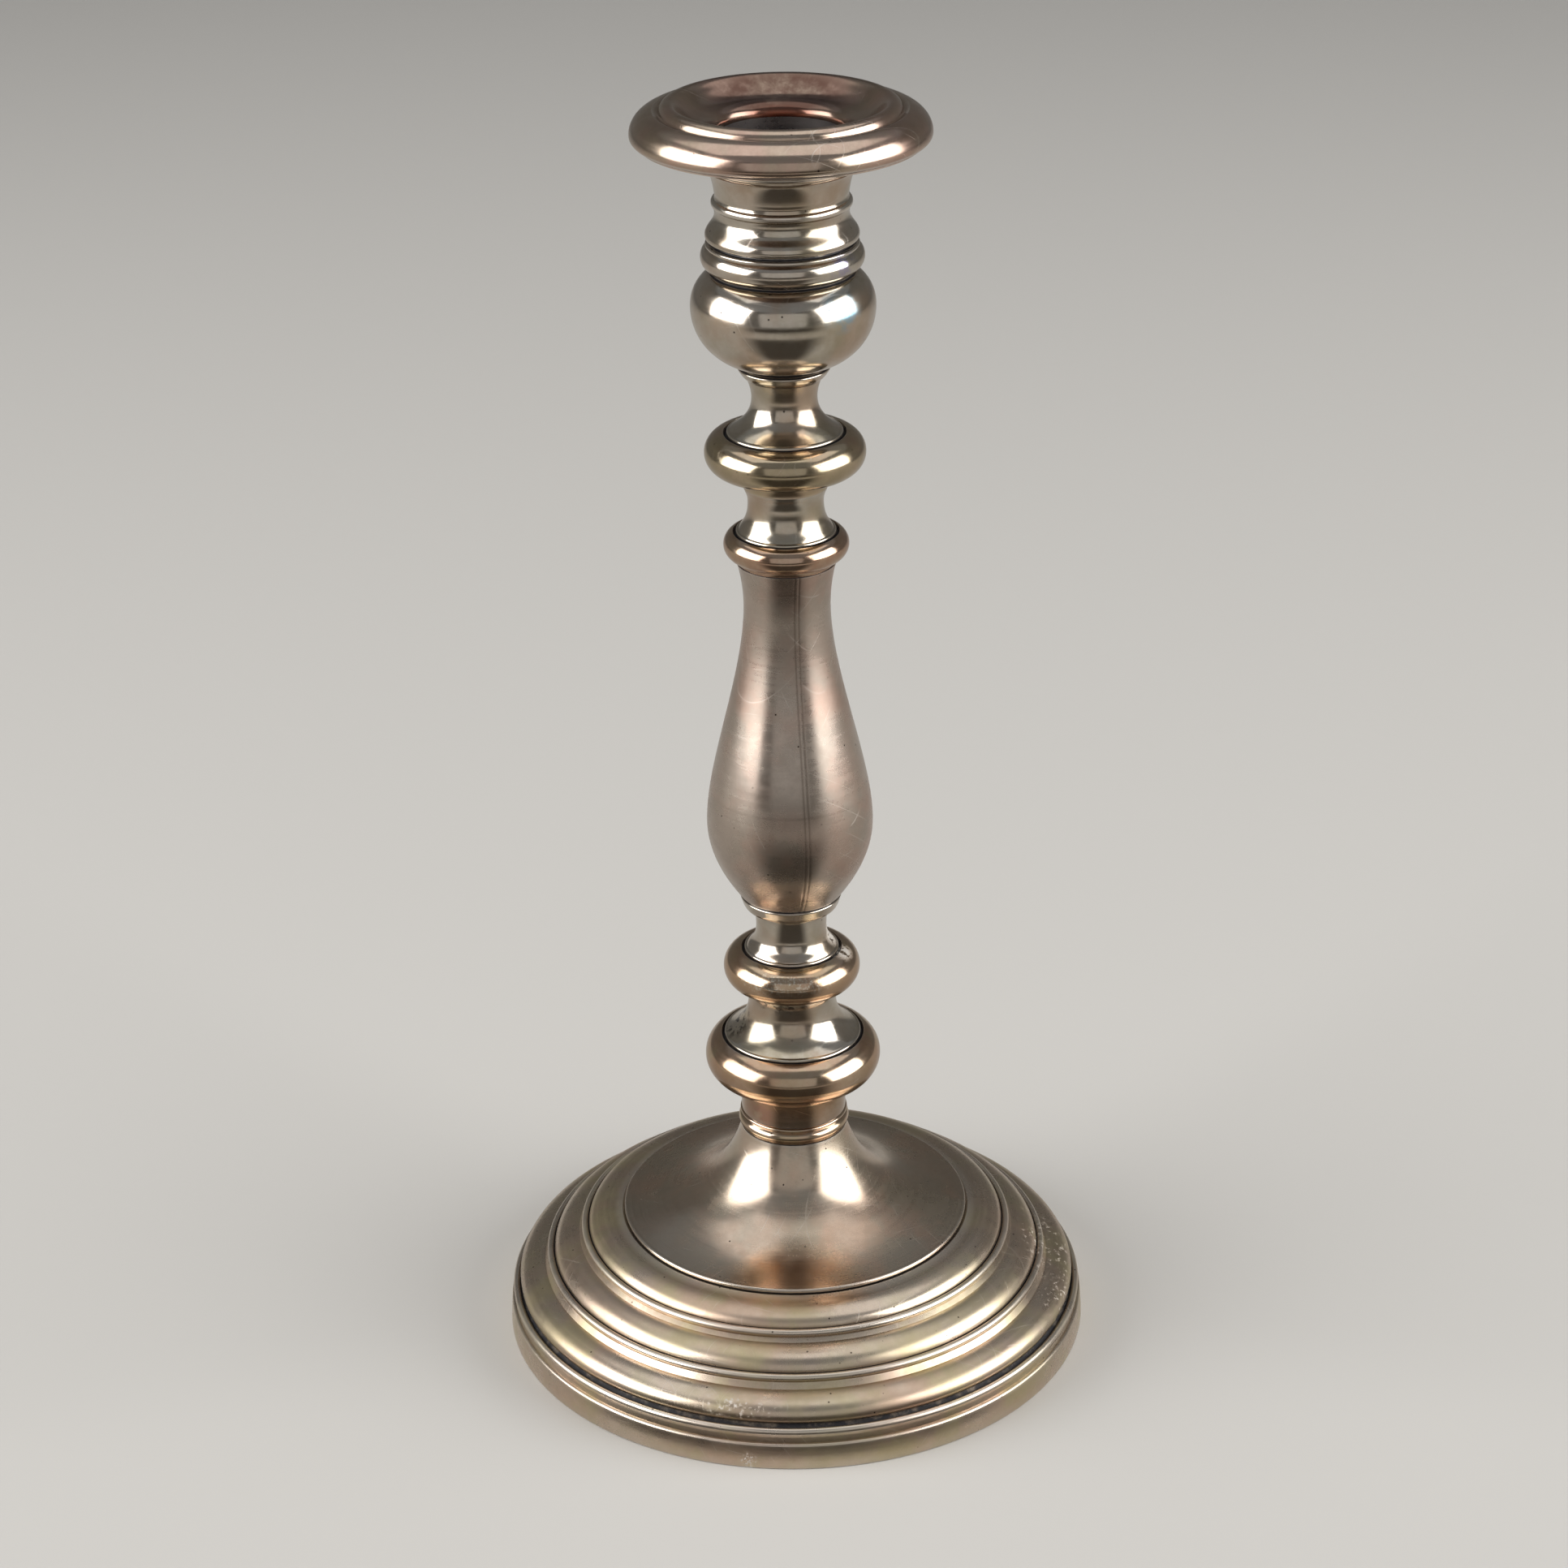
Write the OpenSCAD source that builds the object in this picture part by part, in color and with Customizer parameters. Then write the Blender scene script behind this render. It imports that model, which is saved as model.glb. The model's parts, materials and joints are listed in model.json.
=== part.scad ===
// Turned silver candlestick: stepped foot, knopped baluster stem, sconce and a loose nozzle.
// The origin is at the centre of the underside and +Z is up, in millimetres.

/* [Foot] */
// Diameter across the bottom of the plinth
foot_d = 115.8; // [108:0.1:124]
// Height of the upright plinth band
plinth_h = 5.4; // [4.6:0.1:5.8]
// Diameter of the trumpet dish at its lip
dish_d = 68.6; // [62:0.1:72]
// Height of the dish lip above the table
dish_z = 24.5; // [23:0.1:27]
// Height of the top of the trumpet, where the stem starts
foot_h = 43; // [40:0.1:48]

/* [Stem] */
// Diameter of the straight neck under the large knop
neck_d = 20.6; // [19.6:0.1:21.6]
// Diameter of the large knop
large_knop_d = 34.4; // [32:0.1:38]
// Diameter of the small knop
small_knop_d = 26.6; // [25:0.1:30]
// Widest diameter of the vase
vase_d = 31.8; // [29:0.1:36]
// Narrowest diameter near the top of the vase
vase_neck_d = 16.3; // [15:0.1:17.5]
// Height of the vase
vase_h = 68.4; // [60:0.1:80]
// Diameter of the ring on top of the vase
ring_knop_d = 23.4; // [22.6:0.1:26]
// Diameter of the upper knop
upper_knop_d = 29.8; // [28:0.1:33]

/* [Sconce] */
// Widest diameter of the round bulb
bulb_d = 33.6; // [32:0.1:37]
// Diameter of the ring moulding above the bulb
sconce_ring_d = 29.6; // [28.8:0.1:32]
// Outer diameter of the bead below the rim
sconce_bead_d = 25.4; // [25.2:0.1:26.4]

/* [Nozzle] */
// Diameter of the drip pan
pan_d = 53.8; // [50:0.1:60]
// Diameter of the raised ring around the funnel
crest_d = 39.6; // [37:0.1:42]
// Inside diameter of the candle socket
candle_d = 22.2; // [21.6:0.1:22.2]
// Depth of the straight wall of the candle socket
socket_depth = 23.5; // [18:0.5:24]

/* [Sheet and fits] */
// Thickness of the spun silver sheet
wall = 0.6; // [0.4:0.05:0.7]
// Thickness of the nozzle's socket tube
socket_wall = 0.4; // [0.3:0.05:0.4]
// Running clearance between the nozzle's socket and the sconce, on the radius
nozzle_clear = 0.05; // [0.03:0.01:0.08]

/* [Inside] */
// Diameter of the iron rod
rod_d = 5; // [3:0.5:6]
// Thickness of the closing plate under the foot
plate_t = 0.8; // [0.5:0.1:1.2]
// Thickness of the baize pad
baize_t = 1.2; // [0.8:0.1:1.6]

/* [Hidden] */
$fn = 96;

gap = 0.1;                // room between the filling and the sheet
groove = 0.5;             // depth of the dark groove around each cup
foot_r = foot_d / 2;
dish_r = dish_d / 2;
rod_r = rod_d / 2;
socket_r = candle_d / 2;
socket_out = socket_r + socket_wall;
guide_r = socket_out + nozzle_clear;
plate_z = baize_t + plate_t;
wire_r = 0.95;            // radius of the wire's own section
wire_ring_r = foot_r - wall - wire_r - 0.35;
plate_r = wire_ring_r - wire_r - gap;
rod_foot_z = 8;           // underside of the rod's upset head
rod_head_r = 2 * rod_r;
rod_head_h = 2;

dish_seat_z = dish_z - 0.45;
dish_h = foot_h - dish_seat_z;

// Three cushion mouldings climb from the plinth to the dish.
step_pitch = (foot_r - 2.15 - dish_r - 0.9) / 2.9;
step_w = step_pitch - 1.7;
step_z = [plinth_h + 4.5, plinth_h + 9.9, dish_z - 3.8];
step_rise = [3.35, 3.8, 3.1];

// Each part of the stem stands on the one below.
collar_z = foot_h;
collar_h = 3.9;
large_z = collar_z + collar_h;
large_ring = [large_knop_d / 2 - 4.9, 11.85, 4.9, 4.9];
large_lip = large_knop_d / 2 - 3.8;
small_ring = [small_knop_d / 2 - 3.95, 4.2, 3.95, 3.9];
small_lip = small_knop_d / 2 - 4.1;
ring_ring = [ring_knop_d / 2 - 2.8, 3.55, 2.8, 2.7];
ring_lip = ring_knop_d / 2 - 2.35;
upper_ring = [upper_knop_d / 2 - 3.9, 6.6, 3.9, 3.8];
upper_lip = upper_knop_d / 2 - 4.15;
large_top = seat_h(large_ring, large_lip);
small_top = seat_h(small_ring, small_lip);
ring_top = seat_h(ring_ring, ring_lip);
upper_top = seat_h(upper_ring, upper_lip);

large_cup_z = large_z + large_top;
large_cup_h = 11.1;
small_z = large_cup_z + large_cup_h;
small_cup_z = small_z + small_top;
small_cup_h = 9.3;
vase_foot_z = small_cup_z + small_cup_h;
vase_foot_h = 3.3;
vase_z = vase_foot_z + vase_foot_h;
ring_z = vase_z + vase_h;
ring_cup_z = ring_z + ring_top;
ring_cup_h = 9.4;
upper_z = ring_cup_z + ring_cup_h;
upper_cup_z = upper_z + upper_top;
upper_cup_h = 11;
sconce_foot_z = upper_cup_z + upper_cup_h;
sconce_foot_h = 2.6;
bulb_z = sconce_foot_z + sconce_foot_h;
bulb_h = 17.4;
sconce_ring_z = bulb_z + bulb_h;
sconce_ring_h = 5.9;
sconce_collar_z = sconce_ring_z + sconce_ring_h;
sconce_collar_h = 15.6;
rim_z = sconce_collar_z + sconce_collar_h;
pan_z = rim_z + 0.3;
floor_t = 0.5;            // thickness of the socket's floor
mouth_z = pan_z + 3.2;    // top of the socket's straight wall

// Radii where neighbouring parts of the stem meet.
small_foot_r = 9.3;
vase_foot_r = 7.4;
vase_base_r = 9.75;
vase_top_r = 9.3;
upper_foot_r = 7.9;
sconce_foot_r = 6.9;
bulb_foot_r = 8.3;
collar_foot_r = 12.9;

function turn_back(p) = [for (i = [len(p) - 1:-1:0]) p[i]];
function thinner(p, t) = [for (q = p) [q[0] - t, q[1]]];
function lifted(p, z) = [for (q = p) [q[0], q[1] + z]];
// Points of an ellipse about c, with half axes a and b, between two angles.
function arc(c, a, b, from, to, n = 10) =
    [for (i = [0:n]) c + [a * cos(from + (to - from) * i / n), b * sin(from + (to - from) * i / n)]];
// Points of a smooth curve that leaves p towards q and reaches s from r.
function curve(p, q, r, s, n = 12) =
    [for (i = [0:n]) let (t = i / n, u = 1 - t)
        u * u * u * p + 3 * u * u * t * q + 3 * u * t * t * r + t * t * t * s];

// A ring is [centre radius, centre height, half width, half height].
function crown_angle(k, lip) = acos((lip + 0.55 - k[0]) / k[2]);
function seat_h(k, lip) = k[1] + k[3] * sin(crown_angle(k, lip)) - groove;
function seat_hole(lip) = lip - 1.6;

// Outside of a knop: a foot, a rounded ring, then the groove and seat for the cup above.
function knop_out(k, lip, foot_r, foot_h) = concat(
    [[foot_r, 0], [foot_r, foot_h]],
    curve([foot_r, foot_h], [foot_r + 0.1, foot_h + 0.9], [foot_r + 0.5, k[1] - k[3] - 0.6],
          [foot_r + 1.1, k[1] - k[3] - 0.3], 5),
    arc([k[0], k[1]], k[2], k[3], -75, crown_angle(k, lip), 20),
    [[lip + 0.3, seat_h(k, lip)], [seat_hole(lip), seat_h(k, lip)]]);
function knop_in(k, lip, foot_r, t) = let (top = seat_h(k, lip) - t) concat(
    [[foot_r - t, 0], [foot_r - t, k[1] - k[3] + t]],
    arc([k[0], k[1]], k[2] - t, k[3] - t, -58, asin((top - k[1]) / (k[3] - t)), 10),
    [[seat_hole(lip) - (t - wall), top]]);

// A cup flares from its lip on the knop below to a waist, and out again to the part above.
function cup_out(lip, waist_r, waist_z, top_r, h) = concat(
    [[lip - 0.15, 0], [lip, 0.25], [lip, 0.6], [lip - 0.2, 0.85]],
    curve([lip - 0.35, 0.95], [lip - (lip - waist_r) * 0.5, 2.2],
          [waist_r, waist_z - 3.4], [waist_r, waist_z], 14),
    curve([waist_r, waist_z], [waist_r, waist_z + 1.4], [top_r - 0.4, h - 1.1], [top_r, h], 6));
function cup_in(lip, waist_r, waist_z, top_r, h, t) = concat(
    [[lip - 0.15 - t, 0]],
    curve([lip - 0.35 - t, 0.45], [lip - (lip - waist_r) * 0.5 - t, 1.7],
          [waist_r - t, waist_z - 3.4], [waist_r - t, waist_z], 8),
    [[top_r - t, h]]);

function large_cup_in(t) = cup_in(large_lip, 8.6, 7.9, small_foot_r, large_cup_h, t);
function small_cup_in(t) = cup_in(small_lip, 6.85, 5.7, vase_foot_r, small_cup_h, t);
function ring_cup_in(t) = cup_in(ring_lip, 7.05, 6.4, upper_foot_r, ring_cup_h, t);
function upper_cup_in(t) = cup_in(upper_lip, 6.05, 7.3, sconce_foot_r, upper_cup_h, t);

belly_z = 0.224 * vase_h;
throat_z = 0.874 * vase_h;
function vase_out() = concat(
    curve([vase_base_r, 0], [vase_base_r + 2.4, 0.048 * vase_h],
          [vase_d / 2, 0.127 * vase_h], [vase_d / 2, belly_z], 12),
    curve([vase_d / 2, belly_z], [vase_d / 2, 0.399 * vase_h],
          [vase_neck_d / 2, 0.67 * vase_h], [vase_neck_d / 2, throat_z], 20),
    curve([vase_neck_d / 2, throat_z], [vase_neck_d / 2, 0.933 * vase_h],
          [vase_top_r - 0.4, 0.98 * vase_h], [vase_top_r, vase_h], 6));

function dish_out() = concat(
    [[dish_r - 0.15, 0], [dish_r, 0.3], [dish_r - 0.1, 0.7]],
    curve([dish_r - 0.5, 0.9], [dish_r * 0.62, 2.4], [neck_d / 2 + 3.2, dish_h * 0.41],
          [neck_d / 2 + 0.1, dish_h], 24));
function dish_in(t) = concat(
    [[dish_r - 0.15 - 2 * t, 0]],
    curve([dish_r - 0.5 - 3 * t, 0.9 - t * 0.5], [dish_r * 0.62 - t, 2.4 - t],
          [neck_d / 2 + 3.2 - t, dish_h * 0.41 - t],
          [neck_d / 2 + 0.1 - t, dish_h], 16));

// A shell of revolution between an outside and an inside line, both running upwards.
module turned(outside, inside, z = 0)
    translate([0, 0, z])
        rotate_extrude()
            polygon(concat(outside, turn_back(inside)));

module baize_pad()
    color("darkgreen")
        cylinder(r = plate_r - 0.1, h = baize_t);

module base_plate()
    color("silver")
        translate([0, 0, baize_t])
            cylinder(r = plate_r, h = plate_t);

// Round wire soldered inside the foot of the plinth to stiffen it.
module foot_wire()
    color("silver")
        rotate_extrude()
            translate([wire_ring_r, wire_r + 0.25])
                circle(r = wire_r, $fn = 32);

module foot_steps()
    color("silver") {
        bottom_r = foot_r - 0.25;
        // The outside climbs from the plinth over three beads and cushions to the dish seat.
        outside = concat(
            [[bottom_r, 0], [foot_r, 0.6], [foot_r - 0.4, plinth_h - 0.5], [foot_r - 0.7, plinth_h]],
            [for (s = [0:2])
                let (r = foot_r - 2.15 - s * step_pitch, z = step_z[s], edge = r + 1.5)
                each concat(
                    [[edge - 0.3, z - (s == 0 ? 3.3 : 0.9)]],
                    arc([edge - 0.8, z - (s == 0 ? 2.3 : 0.25)], 0.75, 0.8, -30, 150, 6),
                    [[r - 0.75, z - (s == 0 ? 1.4 : 0.1)]],
                    arc([r - step_w, z], step_w, step_rise[s], s == 0 ? -18 : 4, 86, 14))],
            [[dish_r + 0.35, dish_seat_z], [dish_r - 2.6, dish_seat_z]]);
        inside = concat(
            [[foot_r - wall - 0.1, 0], [foot_r - wall - 0.4, plinth_h - wall]],
            [for (s = [0:2])
                let (r = foot_r - 2.15 - s * step_pitch, z = step_z[s])
                each concat(
                    [[r - wall - 0.9, z - (s == 0 ? 3.9 : 1.6)]],
                    arc([r - step_w, z - 0.3], step_w - wall - 0.9, step_rise[s] - wall, 0, 80, 8))],
            [[dish_r - 2.6, dish_seat_z - wall]]);
        turned(outside, inside);
    }

module foot_dish()
    color("silver")
        turned(dish_out(), dish_in(wall), dish_seat_z);

// The load in the foot stops short of the sheet and closes around the head of the rod.
module foot_filling()
    color("dimgray")
        rotate_extrude()
            polygon(concat(
                [[0, plate_z], [foot_r - wall - 3.4, plate_z], [foot_r - wall - 3.8, plinth_h]],
                [for (s = [0:2])
                    let (r = foot_r - 3.4 - wall - s * step_pitch)
                    each [[r, step_z[s] - 1.9], [r - step_w * 0.6, step_z[s] + step_rise[s] * 0.5]]],
                [[dish_r - 3, dish_z - 2.4], [dish_r * 0.5, dish_z - 1], [neck_d / 2, dish_z + 2],
                 [neck_d / 2 - 1.6, foot_h - 6], [neck_d / 2 - 1.6, foot_h - 1],
                 [rod_r + gap, foot_h - 1], [rod_r + gap, rod_foot_z + rod_head_h + gap],
                 [rod_head_r + gap, rod_foot_z + rod_head_h + gap],
                 [rod_head_r + gap, rod_foot_z - gap], [0, rod_foot_z - gap]]));

module stem_collar()
    color("silver") {
        r = neck_d / 2;
        turned(concat(
                [[r + 0.05, 0]],
                arc([r - 0.6, 1.45], 1.2, 1.3, -50, 55, 8),
                [[r - 0.15, 2.75]],
                arc([r - 0.1, 3.25], 0.4, 0.4, -50, 60, 4),
                [[r - 0.2, collar_h]]),
            [[r - wall - 0.4, 0], [r - wall - 0.4, collar_h]], collar_z);
    }

module large_knop()
    color("silver")
        turned(knop_out(large_ring, large_lip, neck_d / 2, 4.6),
               knop_in(large_ring, large_lip, neck_d / 2, wall), large_z);

module large_knop_cup()
    color("silver")
        turned(cup_out(large_lip, 8.6, 7.9, small_foot_r, large_cup_h),
               large_cup_in(wall), large_cup_z);

module small_knop()
    color("silver")
        turned(concat([[small_foot_r - 0.3, 0]],
                      arc([small_ring[0], small_ring[1]], small_ring[2], small_ring[3],
                          -84, crown_angle(small_ring, small_lip), 20),
                      [[small_lip + 0.3, small_top], [seat_hole(small_lip), small_top]]),
               knop_in(small_ring, small_lip, small_foot_r - 0.3, wall), small_z);

module small_knop_cup()
    color("silver")
        turned(cup_out(small_lip, 6.85, 5.7, vase_foot_r, small_cup_h),
               small_cup_in(wall), small_cup_z);

// Tapered band that the vase stands in.
module vase_foot()
    color("silver")
        turned([[vase_foot_r, 0], [8.7, 0.55], [9.1, 0.75], [9.35, 1.3], [9.75, 2.7], [9.7, 3.05],
                [9.3, vase_foot_h]],
               [[vase_foot_r - wall, 0], [vase_base_r - 1.6, 1.6], [vase_base_r - 1.6, vase_foot_h]],
               vase_foot_z);

module vase()
    color("silver")
        turned(vase_out(), thinner(vase_out(), wall), vase_z);

module ring_knop()
    color("silver")
        turned(concat([[vase_top_r - 0.2, 0]],
                      arc([ring_ring[0], ring_ring[1]], ring_ring[2], ring_ring[3],
                          -80, crown_angle(ring_ring, ring_lip), 18),
                      [[ring_lip + 0.3, ring_top], [seat_hole(ring_lip), ring_top]]),
               [[vase_top_r - 0.2 - wall, 0],
                each arc([ring_ring[0], ring_ring[1]], ring_ring[2] - wall, ring_ring[3] - wall, -70, 30, 8),
                [seat_hole(ring_lip), ring_top - wall]], ring_z);

module ring_knop_cup()
    color("silver")
        turned(cup_out(ring_lip, 7.05, 6.4, upper_foot_r, ring_cup_h),
               ring_cup_in(wall), ring_cup_z);

module upper_knop()
    color("silver")
        turned(knop_out(upper_ring, upper_lip, upper_foot_r, 0.5),
               knop_in(upper_ring, upper_lip, upper_foot_r, wall), upper_z);

module upper_knop_cup()
    color("silver")
        turned(cup_out(upper_lip, 6.05, 7.3, sconce_foot_r, upper_cup_h),
               upper_cup_in(wall), upper_cup_z);

// The load in the stem is one column that follows the inside of the shells.
module stem_filling()
    color("dimgray") {
        t = wall + 2 * gap;
        rotate_extrude()
            polygon(concat(
                [[rod_r + gap, foot_h - 0.8], [neck_d / 2 - t - 0.6, foot_h - 0.8]],
                [[neck_d / 2 - t - 0.6, large_z + gap]],
                lifted(knop_in(large_ring, large_lip, neck_d / 2, t), large_z + gap),
                [[seat_hole(large_lip) - 2 * gap, large_cup_z + gap]],
                lifted(large_cup_in(t + 0.3), large_cup_z + gap),
                lifted(knop_in(small_ring, small_lip, small_foot_r - 0.3, t), small_z + gap),
                [[seat_hole(small_lip) - 2 * gap, small_cup_z + gap]],
                lifted(small_cup_in(t + 0.8), small_cup_z + gap),
                [[seat_hole(vase_base_r) - gap, vase_foot_z + 1.8],
                 [seat_hole(vase_base_r) - gap, vase_z + gap]],
                lifted(thinner(vase_out(), t), vase_z + 2 * gap),
                [[seat_hole(ring_lip) - gap, ring_z + 2 * gap], [seat_hole(ring_lip) - gap, ring_cup_z + gap]],
                lifted(ring_cup_in(t + 0.6), ring_cup_z + gap),
                lifted(knop_in(upper_ring, upper_lip, upper_foot_r, t), upper_z + gap),
                [[seat_hole(upper_lip) - 2 * gap, upper_cup_z + gap]],
                lifted(upper_cup_in(t), upper_cup_z + gap),
                [[rod_r + gap, sconce_foot_z + gap]]));
    }

// Straight iron rod with an upset head that keys into the load.
module iron_rod()
    color("darkslategray")
        translate([0, 0, rod_foot_z]) {
            cylinder(r = rod_head_r, h = rod_head_h);
            cylinder(r = rod_r, h = sconce_foot_z - rod_foot_z);
        }

module sconce_foot()
    color("silver")
        turned([[sconce_foot_r, 0], [7.3, 0.25], [7.75, 0.7], [8.45, 1.75], [8.45, 2.05],
                [8.1, 2.2], [8.15, 2.45], [7.9, sconce_foot_h]],
               [[sconce_foot_r - wall, 0], [6.4, 1.4], [6.4, sconce_foot_h]], sconce_foot_z);

// The bulb is spun with a closed bottom, so it also stops the load.
module sconce_bulb()
    color("silver") {
        r = bulb_d / 2;
        outside = concat(
            [[0, 0], [bulb_foot_r - 0.3, 0]],
            curve([bulb_foot_r, 0.15], [bulb_foot_r + 4.3, 1.4], [r, 5.1], [r, 11.1], 14),
            curve([r, 11.1], [r, 13.8], [r - 1.4, 16.1], [collar_foot_r + 0.5, bulb_h - 0.15], 10),
            [[collar_foot_r, bulb_h]]);
        inside = concat(
            [[0, wall], [bulb_foot_r - 0.6, wall]],
            curve([bulb_foot_r, wall + 0.15], [bulb_foot_r + 4 - wall, 2.2], [r - wall, 5.6],
                  [r - wall, 11.1], 10),
            curve([r - wall, 11.1], [r - wall, 13.4], [r - 2, 15.4],
                  [collar_foot_r - wall, bulb_h], 8));
        turned(outside, inside, bulb_z);
    }

module sconce_ring()
    color("silver")
        turned(concat(
                [[collar_foot_r, 0], [collar_foot_r, 0.35]],
                arc([sconce_ring_d / 2 - 2, 2.85], 2, 2.25, -75, 62, 14),
                [[collar_foot_r + 0.95, 5.15], [collar_foot_r + 0.75, 5.45], [collar_foot_r - 0.1, 5.6],
                 [collar_foot_r - 0.1, sconce_ring_h]]),
            [[collar_foot_r - wall, 0], [collar_foot_r - wall, sconce_ring_h]], sconce_ring_z);

// Turned collar with a bell band, a bead and a flared rim. Its bore guides the nozzle.
module sconce_collar()
    color("silver") {
        bead_r = sconce_bead_d / 2;
        turned(concat(
                [[collar_foot_r - 0.1, 0], [collar_foot_r + 0.6, 0.2]],
                curve([collar_foot_r + 0.9, 0.5], [collar_foot_r + 1.4, 2.1],
                      [bead_r - 0.5, 2.9], [bead_r - 0.6, 4.9], 12),
                [[bead_r - 0.55, 5.9]],
                arc([bead_r - 0.75, 6.9], 0.75, 0.85, -60, 75, 7),
                [[bead_r - 0.7, 8.2], [bead_r - 0.7, 8.6]],
                curve([bead_r - 0.6, 8.9], [bead_r - 0.4, 10.6], [bead_r, 12.2],
                      [bead_r + 0.75, 13.1], 8),
                [[bead_r + 0.55, 13.4], [bead_r + 0.6, 13.65]],
                arc([bead_r + 0.7, 14.35], 0.65, 0.7, -75, 75, 7),
                [[bead_r + 0.6, sconce_collar_h]]),
            [[guide_r, 0], [guide_r, sconce_collar_h]], sconce_collar_z);
    }

// Drip pan with a rounded edge, a raised ring and a funnel that rolls into the socket.
module nozzle_pan()
    color("silver") {
        r = pan_d / 2;
        c = crest_d / 2;
        mouth = socket_r;
        outside = concat(
            [[r - 1.2, 2.3]],
            arc([r - 1.1, 3.45], 1.1, 1.15, -75, 0, 5),
            arc([r - 4.9, 3.45], 4.9, 4.35, 4, 82, 14),
            [[c + 2.15, 7.35], [c + 1.9, 7.5]],
            curve([c + 1.75, 7.75], [c + 1.5, 8.75], [c + 0.8, 9.1], [c, 9.1], 6),
            curve([c, 9.1], [c - 1.6, 9.1], [c - 2.2, 6.7], [c - 5.4, 5.95], 10),
            curve([c - 5.4, 5.95], [mouth + 1.8, 5.7], [mouth, 5.4], [mouth, 3.2], 8));
        inside = concat(
            [[r - 1.8, 2.3]],
            arc([r - 4.9, 3.2], 4.3, 3.9, 0, 82, 10),
            [[c + 1.6, 7.1], [c, 8.4]],
            curve([c - 0.6, 8.2], [c - 1.8, 7.6], [c - 2.8, 6.0], [c - 5.4, 5.35], 6),
            [[socket_out, 4.4], [socket_out, 3.2]]);
        turned(outside, inside, pan_z);
    }

// Shallow dished plate that closes the pan below and rests on the rim of the sconce.
module nozzle_underplate()
    color("silver") {
        edge = pan_d / 2 - 1.35;
        rest_r = sconce_bead_d / 2 + 1.4;
        plate = 0.5;
        translate([0, 0, rim_z])
            rotate_extrude()
                polygon([[socket_out, 0], [rest_r, 0], [edge - 0.6, 2], [edge, 2.15],
                         [edge, pan_z - rim_z + 2.3], [edge - 0.8, pan_z - rim_z + 2.3],
                         [rest_r - 0.2, plate], [socket_out, plate]]);
    }

module nozzle_socket()
    color("silver")
        translate([0, 0, mouth_z - socket_depth])
            difference() {
                cylinder(r = socket_out, h = socket_depth);
                translate([0, 0, -1]) cylinder(r = socket_r, h = socket_depth + 2);
            }

module socket_floor()
    color("silver")
        translate([0, 0, mouth_z - socket_depth - floor_t])
            cylinder(r = socket_out, h = floor_t);

baize_pad();
base_plate();
foot_wire();
foot_steps();
foot_dish();
foot_filling();
stem_collar();
large_knop();
large_knop_cup();
small_knop();
small_knop_cup();
vase_foot();
vase();
ring_knop();
ring_knop_cup();
upper_knop();
upper_knop_cup();
stem_filling();
iron_rod();
sconce_foot();
sconce_bulb();
sconce_ring();
sconce_collar();
nozzle_pan();
nozzle_underplate();
nozzle_socket();
socket_floor();
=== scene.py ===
import json
import math
import random

import bmesh
import bpy
import numpy as np
from mathutils import Matrix, Vector


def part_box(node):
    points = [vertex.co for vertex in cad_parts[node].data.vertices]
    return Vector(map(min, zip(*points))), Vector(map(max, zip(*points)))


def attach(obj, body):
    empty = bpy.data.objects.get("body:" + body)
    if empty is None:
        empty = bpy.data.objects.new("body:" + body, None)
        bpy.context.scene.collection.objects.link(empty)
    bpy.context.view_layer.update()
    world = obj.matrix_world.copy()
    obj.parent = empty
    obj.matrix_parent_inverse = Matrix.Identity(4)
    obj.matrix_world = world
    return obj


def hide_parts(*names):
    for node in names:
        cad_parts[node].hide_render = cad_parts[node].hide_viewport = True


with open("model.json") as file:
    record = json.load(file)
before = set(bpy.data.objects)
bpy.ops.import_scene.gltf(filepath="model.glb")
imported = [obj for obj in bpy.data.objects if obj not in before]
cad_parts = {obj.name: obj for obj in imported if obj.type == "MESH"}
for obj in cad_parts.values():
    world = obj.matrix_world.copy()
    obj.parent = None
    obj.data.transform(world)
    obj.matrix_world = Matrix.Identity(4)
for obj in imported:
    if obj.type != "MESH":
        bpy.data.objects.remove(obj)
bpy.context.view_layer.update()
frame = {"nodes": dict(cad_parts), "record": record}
mm = 0.001
slotOf = {row["node"]: row["material_slot"] for row in frame["record"]["subparts"]}
print("frame loaded:", len(frame["nodes"]), "nodes")

boxOf = {node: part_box(node) for node in frame["nodes"]}


def foot(node):
    return boxOf[node][0].z / mm


def tall(node):
    return (boxOf[node][1].z - boxOf[node][0].z) / mm


def wide(node):
    return boxOf[node][1].x / mm


# Camera: a long lens that looks down at the stick, very slightly tilted.
camera = dict(distance=0.640, height=0.4163, yaw=-0.0933, pitch=25.0822, roll=0.7959,
              lens=85.06, sensor=36, near=0.01)


def placeCamera(c):
    yaw, pitch, roll = (math.radians(c[k]) for k in ("yaw", "pitch", "roll"))
    ahead = Vector((math.sin(yaw) * math.cos(pitch), math.cos(yaw) * math.cos(pitch), -math.sin(pitch)))
    level = Vector((math.cos(yaw), -math.sin(yaw), 0))
    down = ahead.cross(level)
    right = math.cos(roll) * level + math.sin(roll) * down
    up = math.sin(roll) * level - math.cos(roll) * down
    data = bpy.data.cameras.new("studioCamera")
    data.sensor_width = c["sensor"]
    data.lens = c["lens"]
    data.clip_start = c["near"]
    eye = bpy.data.objects.new("studioCamera", data)
    turned = Matrix((right, up, -ahead)).transposed()
    eye.matrix_world = Matrix.Translation((0, -c["distance"], c["height"])) @ turned.to_4x4()
    bpy.context.scene.collection.objects.link(eye)
    bpy.context.scene.camera = eye


placeCamera(camera)


# Outlines are in millimetres: radius, then height above the piece's own lowest point.
# Each piece gives its outside and its inside line, and both run upwards. The numbers in a line are its
# control points, set off from the edge, lip or bead that the dictionary names.

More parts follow.
